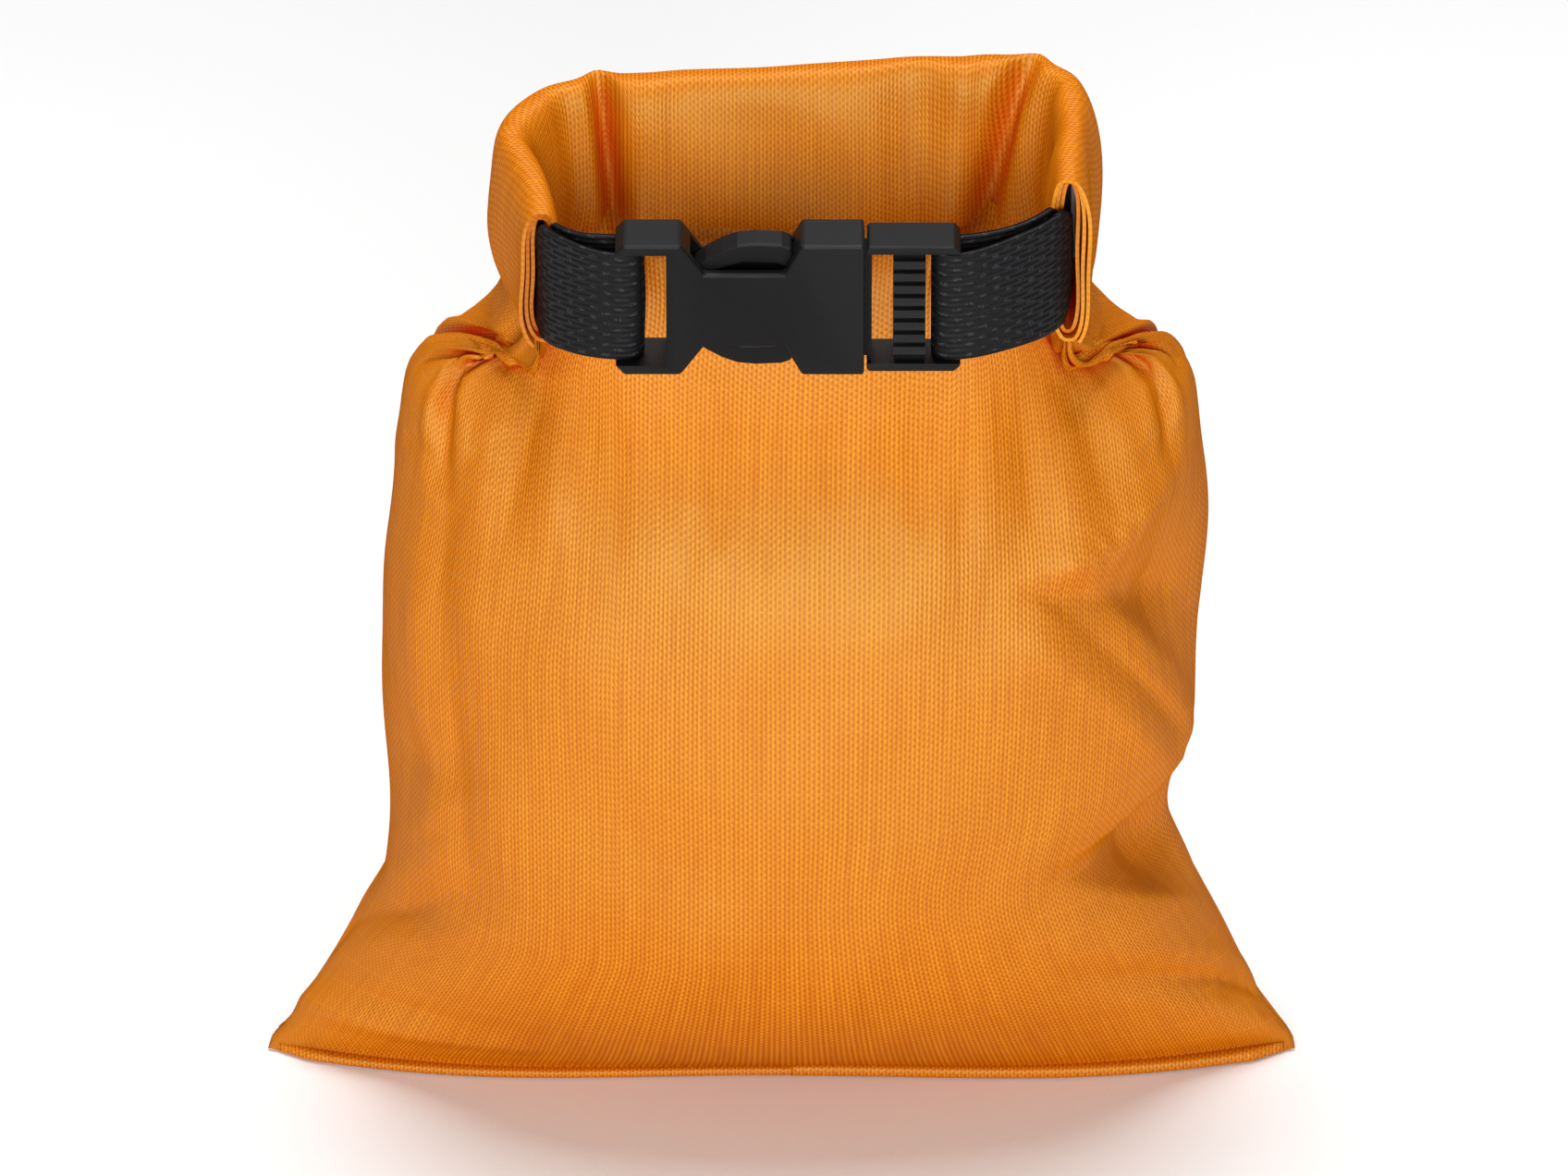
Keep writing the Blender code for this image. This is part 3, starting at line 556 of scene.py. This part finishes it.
def fabric_material():
    """Coated plain weave: upright ribs and rows of dots, streaky threads, faint ripstop lines; painted
    highlights on the thread tops, painted shade in the weave's valleys, and a deep red painted shade in
    the folds.
    """
    cloth = Shader("ripstop_fabric")
    u, v = cloth.pattern_place()
    warp = cloth.wave(u, WARP_PITCH)
    dots = cloth.checker(u, v, 2 * WARP_PITCH, 2 * WEFT_PITCH)
    weave = cloth.math("ADD", cloth.math("MULTIPLY", warp, 0.6), cloth.math("MULTIPLY", dots, 0.55))
    line = cloth.math("GREATER_THAN", cloth.wave(v, RIPSTOP), 0.994)
    slub = cloth.noise(1.0, 4.0, 0.6, stretched_place(cloth, 3360.0, 112.0))
    cloud = cloth.noise(30.0, 3.0)
    # Painted shade in the weave's valleys, warmer here and there at random
    low = cloth.mix(cloud, VALLEY_PAINTED_SHADE, VALLEY_PAINTED_SHADE_WARM)
    streak = cloth.noise(1.0, 3.0, 0.65, stretched_place(cloth, 1200.0, 40.0))
    thread = cloth.math("ADD", cloth.math("MULTIPLY", streak, 1.4), cloth.math("MULTIPLY", slub, 0.6))
    thread = cloth.math("MINIMUM", cloth.math("MAXIMUM", cloth.math("SUBTRACT", thread, 0.5), 0.0), 1.0)
    # Painted highlight on the thread tops, streaked at random by the threads' own tone
    high = cloth.mix(thread, THREAD_HIGHLIGHT_DULL, THREAD_HIGHLIGHT_BRIGHT)
    colour = cloth.mix(weave, low, high)
    colour = cloth.mix(cloth.math("MULTIPLY", line, 0.12), colour, RIPSTOP_LINE)
    # Painted shade: ambient occlusion mixes the colour towards deep red in folds and hollows
    fold_shade_occlusion = cloth.node("AmbientOcclusion", samples=6, only_local=True)
    fold_shade_occlusion.inputs["Distance"].default_value = 11 * MM
    unshaded_share = cloth.math("MULTIPLY", fold_shade_occlusion.outputs["AO"], 1.55)
    colour = cloth.mix(cloth.math("MINIMUM", unshaded_share, 1.0), PAINTED_FOLD_SHADE, colour)
    rough = cloth.math("ADD", 0.40, cloth.math("MULTIPLY", slub, 0.22))
    uneven = cloth.math("MULTIPLY", weave, cloth.math("ADD", thread, 0.5))
    fine = cloth.bump(uneven, 0.1 * MM, 0.9)
    soft = cloth.bump(cloth.noise(90.0, 4.0), 0.4 * MM, 0.35, fine)
    cloth.link(cloth.gloss_falloff(1.15), cloth.surface.inputs["Specular IOR Level"])
    return cloth.finish(colour, rough, soft, Specular_Tint=SATIN_TINT)


def stretched_place(shader, across, along):
    """Flat-pattern coordinates scaled by cycles per metre each way, for thread streaks."""
    mapping = shader.node("Mapping")
    mapping.inputs["Scale"].default_value = (across, along, 1.0)
    shader.link(shader.node("UVMap", uv_map="flat").outputs["UV"], mapping.inputs["Vector"])
    return mapping.outputs["Vector"]


WEB_RIB = 0.95 * MM
WEB_FLOAT = 2.1 * MM
WEB_BLACK = (0.005, 0.005, 0.006)
WEB_PAINTED_GLINT = (0.050, 0.051, 0.056)
PLASTIC_BLACK = (0.004, 0.004, 0.0044)
# Lighter grey for the highlight painted along the buckle's edges
PLASTIC_EDGE_HIGHLIGHT = (0.030, 0.030, 0.030)


def webbing_material():
    """Black ribbed webbing: rows of floats across, with grey highlights painted on the threads as
    glints.
    """
    strap = Shader("ribbed_webbing")
    u, v = strap.pattern_place()
    ribs = strap.wave(v, WEB_RIB)
    floats = strap.checker(u, v, 2 * WEB_FLOAT, 2 * WEB_RIB)
    low = strap.math("MULTIPLY", ribs, 0.75)
    height = strap.math("ADD", low, strap.math("MULTIPLY", floats, 0.45))
    # Painted highlights: grey glints laid into the colour on random spots of the floats
    painted_glint_spots = strap.math("MULTIPLY", floats, strap.noise(2600.0, 2.0))
    painted_glint = strap.math("MULTIPLY", strap.math("GREATER_THAN", painted_glint_spots, 0.44), 0.55)
    colour = strap.mix(painted_glint, WEB_BLACK, WEB_PAINTED_GLINT)
    rough = strap.math("ADD", 0.42, strap.math("MULTIPLY", strap.noise(900.0), 0.3))
    normal = strap.bump(height, 0.22 * MM, 0.9)
    return strap.finish(colour, rough, normal, Specular_IOR_Level=0.16)


def plastic_material():
    """Satin moulded plastic: fine spark-eroded grain, with a lighter highlight painted along the edges.
    """
    moulded = Shader("moulded_plastic")
    grain = moulded.noise(4200.0, 2.0)
    smear = moulded.noise(160.0, 4.0)
    # Painted highlight: pointy edges are mixed towards a lighter grey
    edge = moulded.node("NewGeometry").outputs["Pointiness"]
    raised = moulded.math("MAXIMUM", moulded.math("SUBTRACT", edge, 0.52), 0.0)
    edge_highlight = moulded.math("MINIMUM", moulded.math("MULTIPLY", raised, 4.0), 0.5)
    colour = moulded.mix(edge_highlight, PLASTIC_BLACK, PLASTIC_EDGE_HIGHLIGHT)
    rough = moulded.math("ADD", 0.36, moulded.math("MULTIPLY", smear, 0.16))
    normal = moulded.bump(grain, 0.04 * MM, 0.5)
    return moulded.finish(colour, rough, normal, Specular_IOR_Level=0.13)


def plain_material(name, colour, rough, shade=0.82):
    """A quiet finish for strips, tapes and the floor: mottled colour with fine grain."""
    quiet = Shader(name)
    mottle = quiet.noise(220.0, 4.0)
    dark = tuple(channel * shade for channel in colour)
    normal = quiet.bump(quiet.noise(1500.0), 0.05 * MM, 0.5)
    return quiet.finish(quiet.mix(mottle, dark, colour), rough, normal)


FABRIC_LOOK = fabric_material()
WEBBING_LOOK = webbing_material()
PLASTIC_LOOK = plastic_material()
TAPE_LOOK = plain_material("clear_tape", (0.80, 0.74, 0.62), 0.35)
STRIP_LOOK = plain_material("white_strip", (0.78, 0.78, 0.76), 0.45)


# ---------------------------------------------------------------- sheets


def add_flat_map(obj, places):
    """Stores each vertex's place on the flat pattern, in metres, as the UV map 'flat'."""
    layer = obj.data.uv_layers.new(name="flat")
    corners = np.empty(len(obj.data.loops), int)
    obj.data.loops.foreach_get("vertex_index", corners)
    layer.data.foreach_set("uv", np.asarray(places, float)[corners].ravel())


def tube_piece(name, rings, material, places=None):
    """A bar through (rings, corners) points, closed at both ends."""
    steps, count = rings.shape[:2]
    corner = np.arange(steps * count).reshape(steps, count)
    after = np.roll(corner, -1, axis=1)
    sides = np.stack((corner[:-1], after[:-1], after[1:], corner[1:]), -1).reshape(-1, 4)
    faces = [tuple(side) for side in sides] + [tuple(corner[0]), tuple(corner[-1])]
    piece = make_mesh(name, rings.reshape(-1, 3), faces)
    if places is not None:
        add_flat_map(piece, places.reshape(-1, 2))
    fix_normals(piece)
    piece.data.materials.append(material)
    return piece


def fix_normals(obj):
    """Turns every face of a closed piece outwards."""
    work = bmesh.new()
    work.from_mesh(obj.data)
    bmesh.ops.recalc_face_normals(work, faces=work.faces)
    if work.calc_volume(signed=True) < 0:
        bmesh.ops.reverse_faces(work, faces=work.faces)
    work.to_mesh(obj.data)
    work.free()


def sheet_piece(name, points, normals, places, material, thickness):
    """A cloth sheet from grids of outer points and normals, closed by its own thickness."""
    rows, columns = points.shape[:2]
    count = rows * columns
    corner = np.arange(count).reshape(rows, columns)
    quads = np.stack((corner[:-1, :-1], corner[:-1, 1:], corner[1:, 1:], corner[1:, :-1]), -1)
    quads = quads.reshape(-1, 4)
    sides = points.reshape(-1, 3)[quads]
    facing = np.cross(sides[:, 2] - sides[:, 0], sides[:, 3] - sides[:, 1])
    if (facing * normals.reshape(-1, 3)[quads[:, 0]]).sum() < 0:
        quads = quads[:, ::-1]
    rim = np.concatenate((corner[0], corner[1:, -1], corner[-1, -2::-1], corner[-2:0:-1, 0]))
    after = np.roll(rim, -1)
    walls = np.stack((rim, after, after + count, rim + count), -1)
    faces = np.concatenate((quads, quads[:, ::-1] + count, walls))
    inner = points - normals * thickness
    obj = make_mesh(name, np.concatenate((points.reshape(-1, 3), inner.reshape(-1, 3))), faces)
    add_flat_map(obj, np.concatenate((places.reshape(-1, 2), places.reshape(-1, 2))))
    obj.data.materials.append(material)
    fix_normals(obj)
    mesh = obj.data
    smooth = np.ones(len(faces), bool)
    smooth[2 * len(quads):] = False
    mesh.polygons.foreach_set("use_smooth", smooth)
    outward = np.concatenate((normals.reshape(-1, 3), -normals.reshape(-1, 3)))
    at_corner = np.empty(len(mesh.loops), int)
    mesh.loops.foreach_get("vertex_index", at_corner)
    wanted = outward[at_corner]
    for wall in mesh.polygons[2 * len(quads):]:
        wanted[wall.loop_start:wall.loop_start + wall.loop_total] = wall.normal
    mesh.normals_split_custom_set(wanted)
    return obj


def refine(grid, times, closed):
    """Cubic points between the rows and columns of a grid. Its columns may close on themselves."""
    for axis in (0, 1):
        around = closed and axis == 1
        count = grid.shape[axis]
        places = np.arange(count * times if around else (count - 1) * times + 1) / times
        base = np.floor(places).astype(int)
        t = (places - base).reshape((-1, 1, 1) if axis == 0 else (1, -1, 1))
        taken = []
        for step in (-1, 0, 1, 2):
            index = (base + step) % count if around else np.clip(base + step, 0, count - 1)
            taken.append(np.take(grid, index, axis=axis))
        before, start, end, following = taken
        cubic = 3 * (start - end) + following - before
        square = 2 * before - 5 * start + 4 * end - following
        grid = start + 0.5 * t * (end - before + t * (square + t * cubic))
    return grid


def seam_blend(piece):
    """Bakes a piece's placement into its mesh. Every layer goes through this."""
    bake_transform(piece)


# ---------------------------------------------------------------- bag body


def body_halves():
    """The bag's fabric, in a left and a right half that meet on the centre lines."""
    grid, flat, lengths = bag_grid()
    grid = crease_bag(grid, lengths, BEFORE_CLOTH)
    grid = simulate_bag(grid, flat)
    grid = crease_bag(grid, lengths, AFTER_CLOTH)
    grid = refine(grid, BODY_DETAIL, True)
    grid[..., 2] = np.maximum(grid[..., 2], 0.0)
    normals = grid_normals(grid)
    rows, columns = grid.shape[:2]
    pitch = 4 * FLAT_HALF / columns
    lengths = np.repeat(lengths, BODY_DETAIL)
    quarter = columns // 4
    for side, word, first in ((-1, "left", 3 * quarter), (1, "right", quarter)):
        run = np.arange(first, first + 2 * quarter + 1)
        around = run % columns
        places = np.empty((rows, len(run), 2))
        places[..., 0] = run * pitch
        places[..., 1] = np.linspace(0.0, 1.0, rows)[:, None] * lengths[around]
        half = sheet_piece(
            f"bag_fabric_{word}", grid[:, around], normals[:, around], places, FABRIC_LOOK, FABRIC
        )
        seam_blend(half)
        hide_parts("bag_body")
    return grid


TAPE_HALF_WIDTH = 6 * MM
TAPE_THICKNESS = 0.3 * MM
TAPE_GAP = 0.15 * MM
TAPE_ROWS = slice(8, 96)


def seam_tape(grid):
    """Sealing tape on the inner face of the seam down the middle of the back."""
    normals = grid_normals(grid)
    middle = grid.shape[1] * 3 // 4
    pitch = 4 * FLAT_HALF / grid.shape[1]
    reach = round(TAPE_HALF_WIDTH / pitch)
    columns = slice(middle - reach, middle + reach + 1)
    facing = normals[TAPE_ROWS, columns]
    inner = grid[TAPE_ROWS, columns] - facing * (FABRIC + TAPE_GAP)
    places = inner[..., (0, 2)]
    tape = sheet_piece("back_seam_strip", inner, facing, places, TAPE_LOOK, TAPE_THICKNESS)
    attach(tape, "bag")
    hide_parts("back_seam_tape")


# ---------------------------------------------------------------- rolled mouth

ROLL_TURNS = 2.6
ROLL_LAYER = 1.15 * MM
ROLL_SHEET = 0.6 * MM
ROLL_INNER_INSET = 3.2 * MM
ROLL_HALF_THICKNESS = 5.6 * MM
ROLL_END_HALF_THICKNESS = 4.0 * MM
ROLL_TOP = 172.0 * MM
ROLL_TOP_TILT = 0.060
ROLL_TOP_FALL = {-1: 8.2 * MM, 1: 6.6 * MM}
ROLL_BOTTOM = 141.0 * MM
ROLL_END_BOTTOM = 138.0 * MM
ROLL_STEPS = 90
ROLL_AROUND = 170
ROLL_END_ANGLE = 0.35
ROLL_LEAST_THICKNESS = 0.4 * MM
END_THINNING = 0.25
END_RIPPLE = 0.55 * MM
WAVER = 0.5 * MM


def roll_span(x, y, side):
    """Heights of the roll's top and bottom over a place in plan."""
    forward = np.clip((ROLL_BACK_Y - y) / (BEND_RADIUS + ARM), 0.0, 1.1)
    fall = np.where(side < 0, ROLL_TOP_FALL[-1], ROLL_TOP_FALL[1]) * forward**1.3
    top = ROLL_TOP + ROLL_TOP_TILT * (x - ROLL_CENTRE_X) - fall
    return top, ROLL_BOTTOM + (ROLL_END_BOTTOM - ROLL_BOTTOM) * forward


def roll_place(distance, sideways, level):
    """A point of the roll: signed distance along it, sideways towards the middle, level -1 to 1."""
    path_x, path_y, normal = roll_path(distance)
    push = fold_push(distance, level)
    facing = smooth_step(-1.1, 0.8, sideways / ROLL_HALF_THICKNESS)
    waver = WAVER * np.sin(distance / (6.1 * MM) + 2.2 * level)
    waver = waver * np.sin(2.1 * level + distance / (17 * MM))
    outward = sideways - push * facing + waver
    x = path_x + normal[..., 0] * outward
    y = path_y + normal[..., 1] * outward
    top, bottom = roll_span(path_x, path_y, np.where(distance < 0, -1, 1))
    z = (top + bottom) / 2 + (top - bottom) / 2 * level
    return np.stack((x, y, z), -1)


def roll_grid():
    """Spiral sheet of the whole roll, from its left end to its right one, with its flat pattern."""
    distance = np.linspace(-REACH, REACH, 2 * ROLL_STEPS + 1)[:, None]
    spiral = np.linspace(0.0, 1.0, ROLL_AROUND)[None, :]
    angle = -math.pi * 0.5 + 2 * math.pi * ROLL_TURNS * (spiral - 1.0) - ROLL_END_ANGLE
    end_share = smooth_step(BACK_HALF, REACH, np.abs(distance))
    outside = ROLL_LAYER * (1 - END_THINNING * end_share) * ROLL_TURNS * (1 - spiral)
    half_thick = ROLL_HALF_THICKNESS + (ROLL_END_HALF_THICKNESS - ROLL_HALF_THICKNESS) * end_share
    thick = np.maximum(half_thick - outside, ROLL_LEAST_THICKNESS)
    cosine = np.cos(angle)
    sine = np.sin(angle)
    sideways = thick * np.sign(cosine) * np.abs(cosine) ** 0.72
    level = np.sign(sine) * np.abs(sine) ** 0.80 * (1 - outside / (14 * MM))
    ripple = END_RIPPLE * np.sin(7 * spiral * math.pi + 1.3 * np.sign(distance))
    ripple = ripple * smooth_step(REACH - 5 * MM, REACH, np.abs(distance))
    inset = ROLL_INNER_INSET * (1 - spiral) * smooth_step(REACH - 8 * MM, REACH, np.abs(distance))
    points = roll_place(distance + np.sign(distance) * (ripple - inset), sideways, level)
    places = np.empty((*points.shape[:2], 2))
    places[..., 0] = distance
    edge = np.linalg.norm(np.diff(points, axis=1), axis=2)
    places[:, 0, 1] = 0.0
    places[:, 1:, 1] = np.cumsum(edge, axis=1)
    along = np.gradient(points, axis=0)
    normals = np.cross(along, np.gradient(points, axis=1))
    return points, normals / np.linalg.norm(normals, axis=2, keepdims=True), places


def roll_halves():
    """The rolled mouth, in a left and a right half that meet at its middle."""
    points, normals, places = roll_grid()
    halves = ((-1, "left", slice(0, ROLL_STEPS + 1)), (1, "right", slice(ROLL_STEPS, None)))
    for side, word, rows in halves:
        roll = sheet_piece(
            f"rolled_mouth_{word}", points[rows], normals[rows], places[rows], FABRIC_LOOK, ROLL_SHEET
        )
        seam_blend(roll)
        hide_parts("collar_back", f"collar_{word}")


# The strips inside the roll follow its folds
STRIP_HALF_THICKNESS = 0.35 * MM
STRIP_LEVEL = 0.62
STRIP_STEPS = 26
STRIP_GAP = 0.3 * MM
STRIP_TRIM = 19 * MM


def strip(word, start, end):
    """One length of the stiffening strip that is rolled into the mouth."""
    distance = np.linspace(start, end, STRIP_STEPS)[:, None]
    corners = np.array(((-1, -1), (1, -1), (1, 1), (-1, 1)))
    sideways = corners[None, :, 0] * STRIP_HALF_THICKNESS
    points = roll_place(distance, sideways, corners[None, :, 1] * STRIP_LEVEL)
    piece = tube_piece(f"mouth_strip_{word}", points, STRIP_LOOK)
    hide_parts(f"stiffener_{word}")
    return piece


def strips():
    """The strip in three lengths, cut where the roll's arms turn."""
    cut = abs(HINGE_RIGHT[0] - ROLL_CENTRE_X)
    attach(strip("back", -cut, cut), "bag")
    for side, word in ((-1, "left"), (1, "right")):
        arm = strip(word, side * (cut + STRIP_GAP), side * (REACH - STRIP_TRIM))
        seam_blend(arm)


# ---------------------------------------------------------------- webbing

WEB_WIDTH = 20 * MM
WEB_THICK = 1.15 * MM
WEB_HIDDEN = 6 * MM
WEB_INWARD = 0.7 * MM
WEB_LIFT = 0.8 * MM
WEB_END_WIDTH = 0.60  # share of the width left at the end that the roll hides
WEB_STEPS = 34
WEB_ACROSS = 15
WEB_INSIDE_GAP = 0.9 * MM  # half the gap between the two layers where they are sewn in
WEB_BULGE = 0.5 * MM
WEB_WAVE = 0.12 * MM
WRAP_STEPS = 18
BAR_RADIUS = 2.75 * MM
BAR_INSET = 1.4 * MM
BUCKLE_TILT = math.radians(8)


def web_path(side):
    """Four Bezier points of a webbing loop's middle, from inside the roll to its buckle bar."""
    bar_node = "buckle_socket" if side < 0 else "buckle_plug"
    low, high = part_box(bar_node)
    bar_x = low[0] + BAR_INSET if side < 0 else high[0] - BAR_INSET
    swing = SWING_LEFT if side < 0 else SWING_RIGHT
    bar_y = (low[1] + high[1]) / 2
    bar_z = (low[2] + high[2]) / 2
    top, bottom = roll_span(swing[0], swing[1], side)
    bar = np.array((bar_x, bar_y, bar_z))
    inside_x, inside_y, _ = roll_path(side * (REACH - WEB_HIDDEN))
    mouth_x, mouth_y, _ = roll_path(side * REACH)
    inside = np.array((inside_x - side * WEB_INWARD, inside_y, (top + bottom) / 2 + WEB_LIFT))
    mouth = np.array((mouth_x - side * WEB_INWARD, mouth_y - 4 * MM, (inside[2] * 2 + bar_z) / 3))
    near = bar + np.array((side * 7 * MM, 0.3 * MM, 0.0))
    return inside, mouth, near, bar


def bezier(points, t):
    """Point on a cubic Bezier curve."""
    a, b, c, d = points
    t = np.asarray(t)[:, None]
    return (1 - t) ** 3 * a + 3 * (1 - t) ** 2 * t * b + 3 * (1 - t) * t**2 * c + t**3 * d


def webbing(side, word):
    """A double strap of webbing: out of the roll, round the buckle bar and back."""
    inside, mouth, near, bar = web_path(side)
    t = np.linspace(0.0, 1.0, WEB_STEPS)
    middle = bezier((inside, mouth, near, bar), t)
    along = np.gradient(middle, axis=0)
    along[:, 2] = 0
    along /= np.linalg.norm(along, axis=1, keepdims=True)
    across = np.stack((along[:, 1], -along[:, 0], np.zeros(len(t))), 1) * side
    gap = WEB_INSIDE_GAP + (BAR_RADIUS - WEB_INSIDE_GAP) * smooth_step(0.45, 1.0, t)
    gap = gap + WEB_BULGE * np.sin(math.pi * t) ** 2
    turn = np.linspace(0, math.pi, WRAP_STEPS)[1:-1]
    end_along, end_across = along[-1], across[-1]
    wrap = [bar + BAR_RADIUS * (end_across * math.cos(a) + end_along * math.sin(a)) for a in turn]
    wrap_out = [end_across * math.cos(a) + end_along * math.sin(a) for a in turn]
    front = middle + across * gap[:, None]
    back = (middle - across * gap[:, None])[::-1]
    centre = np.concatenate((front, np.array(wrap), back))
    outward = np.concatenate((across, np.array(wrap_out), -across[::-1]))
    share = np.concatenate((t, np.ones(len(turn)), t[::-1]))
    tilt = BUCKLE_TILT * smooth_step(0.3, 1.0, share)
    narrow = WEB_END_WIDTH + (1 - WEB_END_WIDTH) * smooth_step(0.0, 0.24, share)
    length = np.concatenate(([0.0], np.cumsum(np.linalg.norm(np.diff(centre, axis=0), axis=1))))
    half = WEB_WIDTH / 2
    edge = WEB_THICK * 0.5
    rim = [(-half + edge * 0.5, 1.0), (-half, 0.35), (-half, -0.35), (-half + edge * 0.5, -1.0)]
    across_steps = np.linspace(-half + 1.2 * MM, half - 1.2 * MM, WEB_ACROSS)
    section = [(w, -1.0) for w in across_steps] + [(-w, -h) for w, h in rim]
    section += [(w, 1.0) for w in across_steps[::-1]] + [(w, h) for w, h in rim]
    points = []
    places = []
    for k in range(len(centre)):
        rotation = np.array(Matrix.Rotation(tilt[k], 3, "X"))
        origin = middle[min(k, len(t) - 1)] if k < len(t) else bar
        if k >= len(t) + len(turn):
            origin = middle[len(centre) - 1 - k]
        for width, layer in section:
            wave = WEB_WAVE * math.sin(length[k] / (2.9 * MM)) * math.cos(width / (3.1 * MM))
            upward = np.array((0, 0, width * narrow[k]))
            offset = centre[k] - origin + outward[k] * (layer * edge + wave) + upward
            points.append(origin + rotation @ offset)
            places.append((length[k], width + (half * 4 if layer < 0 else 0)))
    shape = (len(centre), len(section), -1)
    rings = np.array(points).reshape(shape)
    strap = tube_piece(f"webbing_strap_{word}", rings, WEBBING_LOOK, np.array(places).reshape(shape))
    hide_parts(f"webbing_{word}", f"webbing_tail_{word}")
    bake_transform(strap)


# ---------------------------------------------------------------- hem

HEM_DEPTH = 2.6 * MM
HEM_HALF_HEIGHT = 0.75 * MM
HEM_STEP_X = 1.5 * MM
HEM_OVERLAP = 1.5 * MM
HEM_LIFT = 0.45 * MM
HEM_END = 83.0 * MM
HEM_FULL = 78 * MM
HEM_FADE = 7 * MM
HEM_STEPS = 90
HEM_CORNERS = 14
HEM_GIRTH = 8 * MM


def hem(grid):
    """The turned seam allowance in front of the seam: two lengths that overlap in the middle."""
    seam = grid[0, : grid.shape[1] // 2 + 1]
    order = np.argsort(seam[:, 0])
    seam = seam[order]
    for word, start, end, lift in (
        ("left", -HEM_END, HEM_STEP_X + HEM_OVERLAP, 0.0),
        ("right", HEM_STEP_X, HEM_END, HEM_LIFT),
    ):
        xs = np.linspace(start, end, HEM_STEPS)
        ys = np.interp(xs, seam[:, 0], seam[:, 1])
        points = []
        places = []
        for x, y in zip(xs, ys):
            fade = 1.0 if abs(x) < HEM_FULL else max(0.25, 1 - (abs(x) - HEM_FULL) / HEM_FADE)
            for k in range(HEM_CORNERS):
                turn = 2 * math.pi * k / HEM_CORNERS
                deep = (HEM_DEPTH + lift * 0.6) / 2 * fade
                tall = (HEM_HALF_HEIGHT + lift * 0.5) * (0.75 + 0.25 * fade)
                forward = math.copysign(abs(math.cos(turn)) ** 0.6, math.cos(turn)) * deep
                upward = math.copysign(abs(math.sin(turn)) ** 0.6, math.sin(turn)) * tall
                points.append((x, y + 0.5 * MM - deep + forward, max(tall + upward + 0.02 * MM, 0.0)))
                places.append((x, k / HEM_CORNERS * HEM_GIRTH))
        shape = (len(xs), HEM_CORNERS, -1)
        rings = np.array(points).reshape(shape)
        piece = tube_piece(f"seam_hem_{word}", rings, FABRIC_LOOK, np.array(places).reshape(shape))
        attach(piece, "bag")
        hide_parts("bottom_seam_hem")


# ---------------------------------------------------------------- frame nodes that stay


def dress(node, material):
    """Gives a CAD node its finish."""
    obj = frame["nodes"][node]
    obj.data.materials.clear()
    obj.data.materials.append(material)


def dress_frame():
    """The buckle and the bottom tape keep their CAD shapes, with procedural materials; the buckle's
    edges carry a painted highlight.
    """
    for node in ("buckle_socket", "buckle_plug", "prong_upper", "prong_lower"):
        dress(node, PLASTIC_LOOK)
    dress("bottom_seam_tape", TAPE_LOOK)


# ---------------------------------------------------------------- studio

SENSOR = 36
FLOOR_HALF = 3
FLOOR_DROP = 0.2 * MM
WORLD_LIGHT = 0.16
VIEW_ELEVATION = math.radians(25)
VIEW_DISTANCE = 3.0
VIEW_WIDTH = 0.2540
VIEW_TARGET = Vector((0.00045, -0.020, 0.0938))


def make_camera():
    """In front of the bag and above it, far off with a long lens, as the photo was taken."""
    camera = bpy.data.objects.new("camera", bpy.data.cameras.new("camera"))
    bpy.context.scene.collection.objects.link(camera)
    camera.data.sensor_width = SENSOR
    camera.data.lens = SENSOR * VIEW_DISTANCE / VIEW_WIDTH
    camera.data.clip_end = 20
    back = Vector((0, -math.cos(VIEW_ELEVATION), math.sin(VIEW_ELEVATION)))
    camera.location = VIEW_TARGET + back * VIEW_DISTANCE
    camera.rotation_mode = "QUATERNION"
    camera.rotation_quaternion = (-back).to_track_quat("-Z", "Y")
    bpy.context.scene.camera = camera


def area_light(name, place, target, size, power):
    """A round soft light that faces its target."""
    light = bpy.data.lights.new(name, "AREA")
    light.shape = "DISK"
    light.size = size
    light.energy = power
    lamp = bpy.data.objects.new(name, light)
    bpy.context.scene.collection.objects.link(lamp)
    lamp.location = place
    lamp.rotation_mode = "QUATERNION"
    lamp.rotation_quaternion = (Vector(target) - Vector(place)).to_track_quat("-Z", "Y")


def make_studio():
    """Pale floor, even white surroundings and three soft lights."""
    corners = [(x * FLOOR_HALF, y * FLOOR_HALF, 0) for x, y in ((-1, -1), (1, -1), (1, 1), (-1, 1))]
    floor = make_mesh("floor", corners, [(0, 1, 2, 3)], False)
    floor.location.z = -FLOOR_DROP
    floor.data.materials.append(plain_material("pale_floor", (0.96, 0.96, 0.96), 0.8, shade=0.99))
    world = bpy.data.worlds.new("studio")
    world.use_nodes = True
    world.node_tree.nodes["Background"].inputs["Color"].default_value = (1, 1, 1, 1)
    world.node_tree.nodes["Background"].inputs["Strength"].default_value = WORLD_LIGHT
    bpy.context.scene.world = world
    middle = (0.0, 0.0, 0.09)
    area_light("key", (0.10, -1.35, 0.42), middle, 0.55, 13.0)
    area_light("left", (-0.75, -0.75, 0.55), middle, 0.50, 2.0)
    area_light("top", (0.0, 0.25, 1.10), middle, 0.70, 11.5)


bpy.context.scene.view_settings.view_transform = "Standard"
make_camera()
make_studio()
bag = body_halves()
seam_tape(bag)
roll_halves()
strips()
webbing(-1, "left")
webbing(1, "right")
hem(bag)
dress_frame()
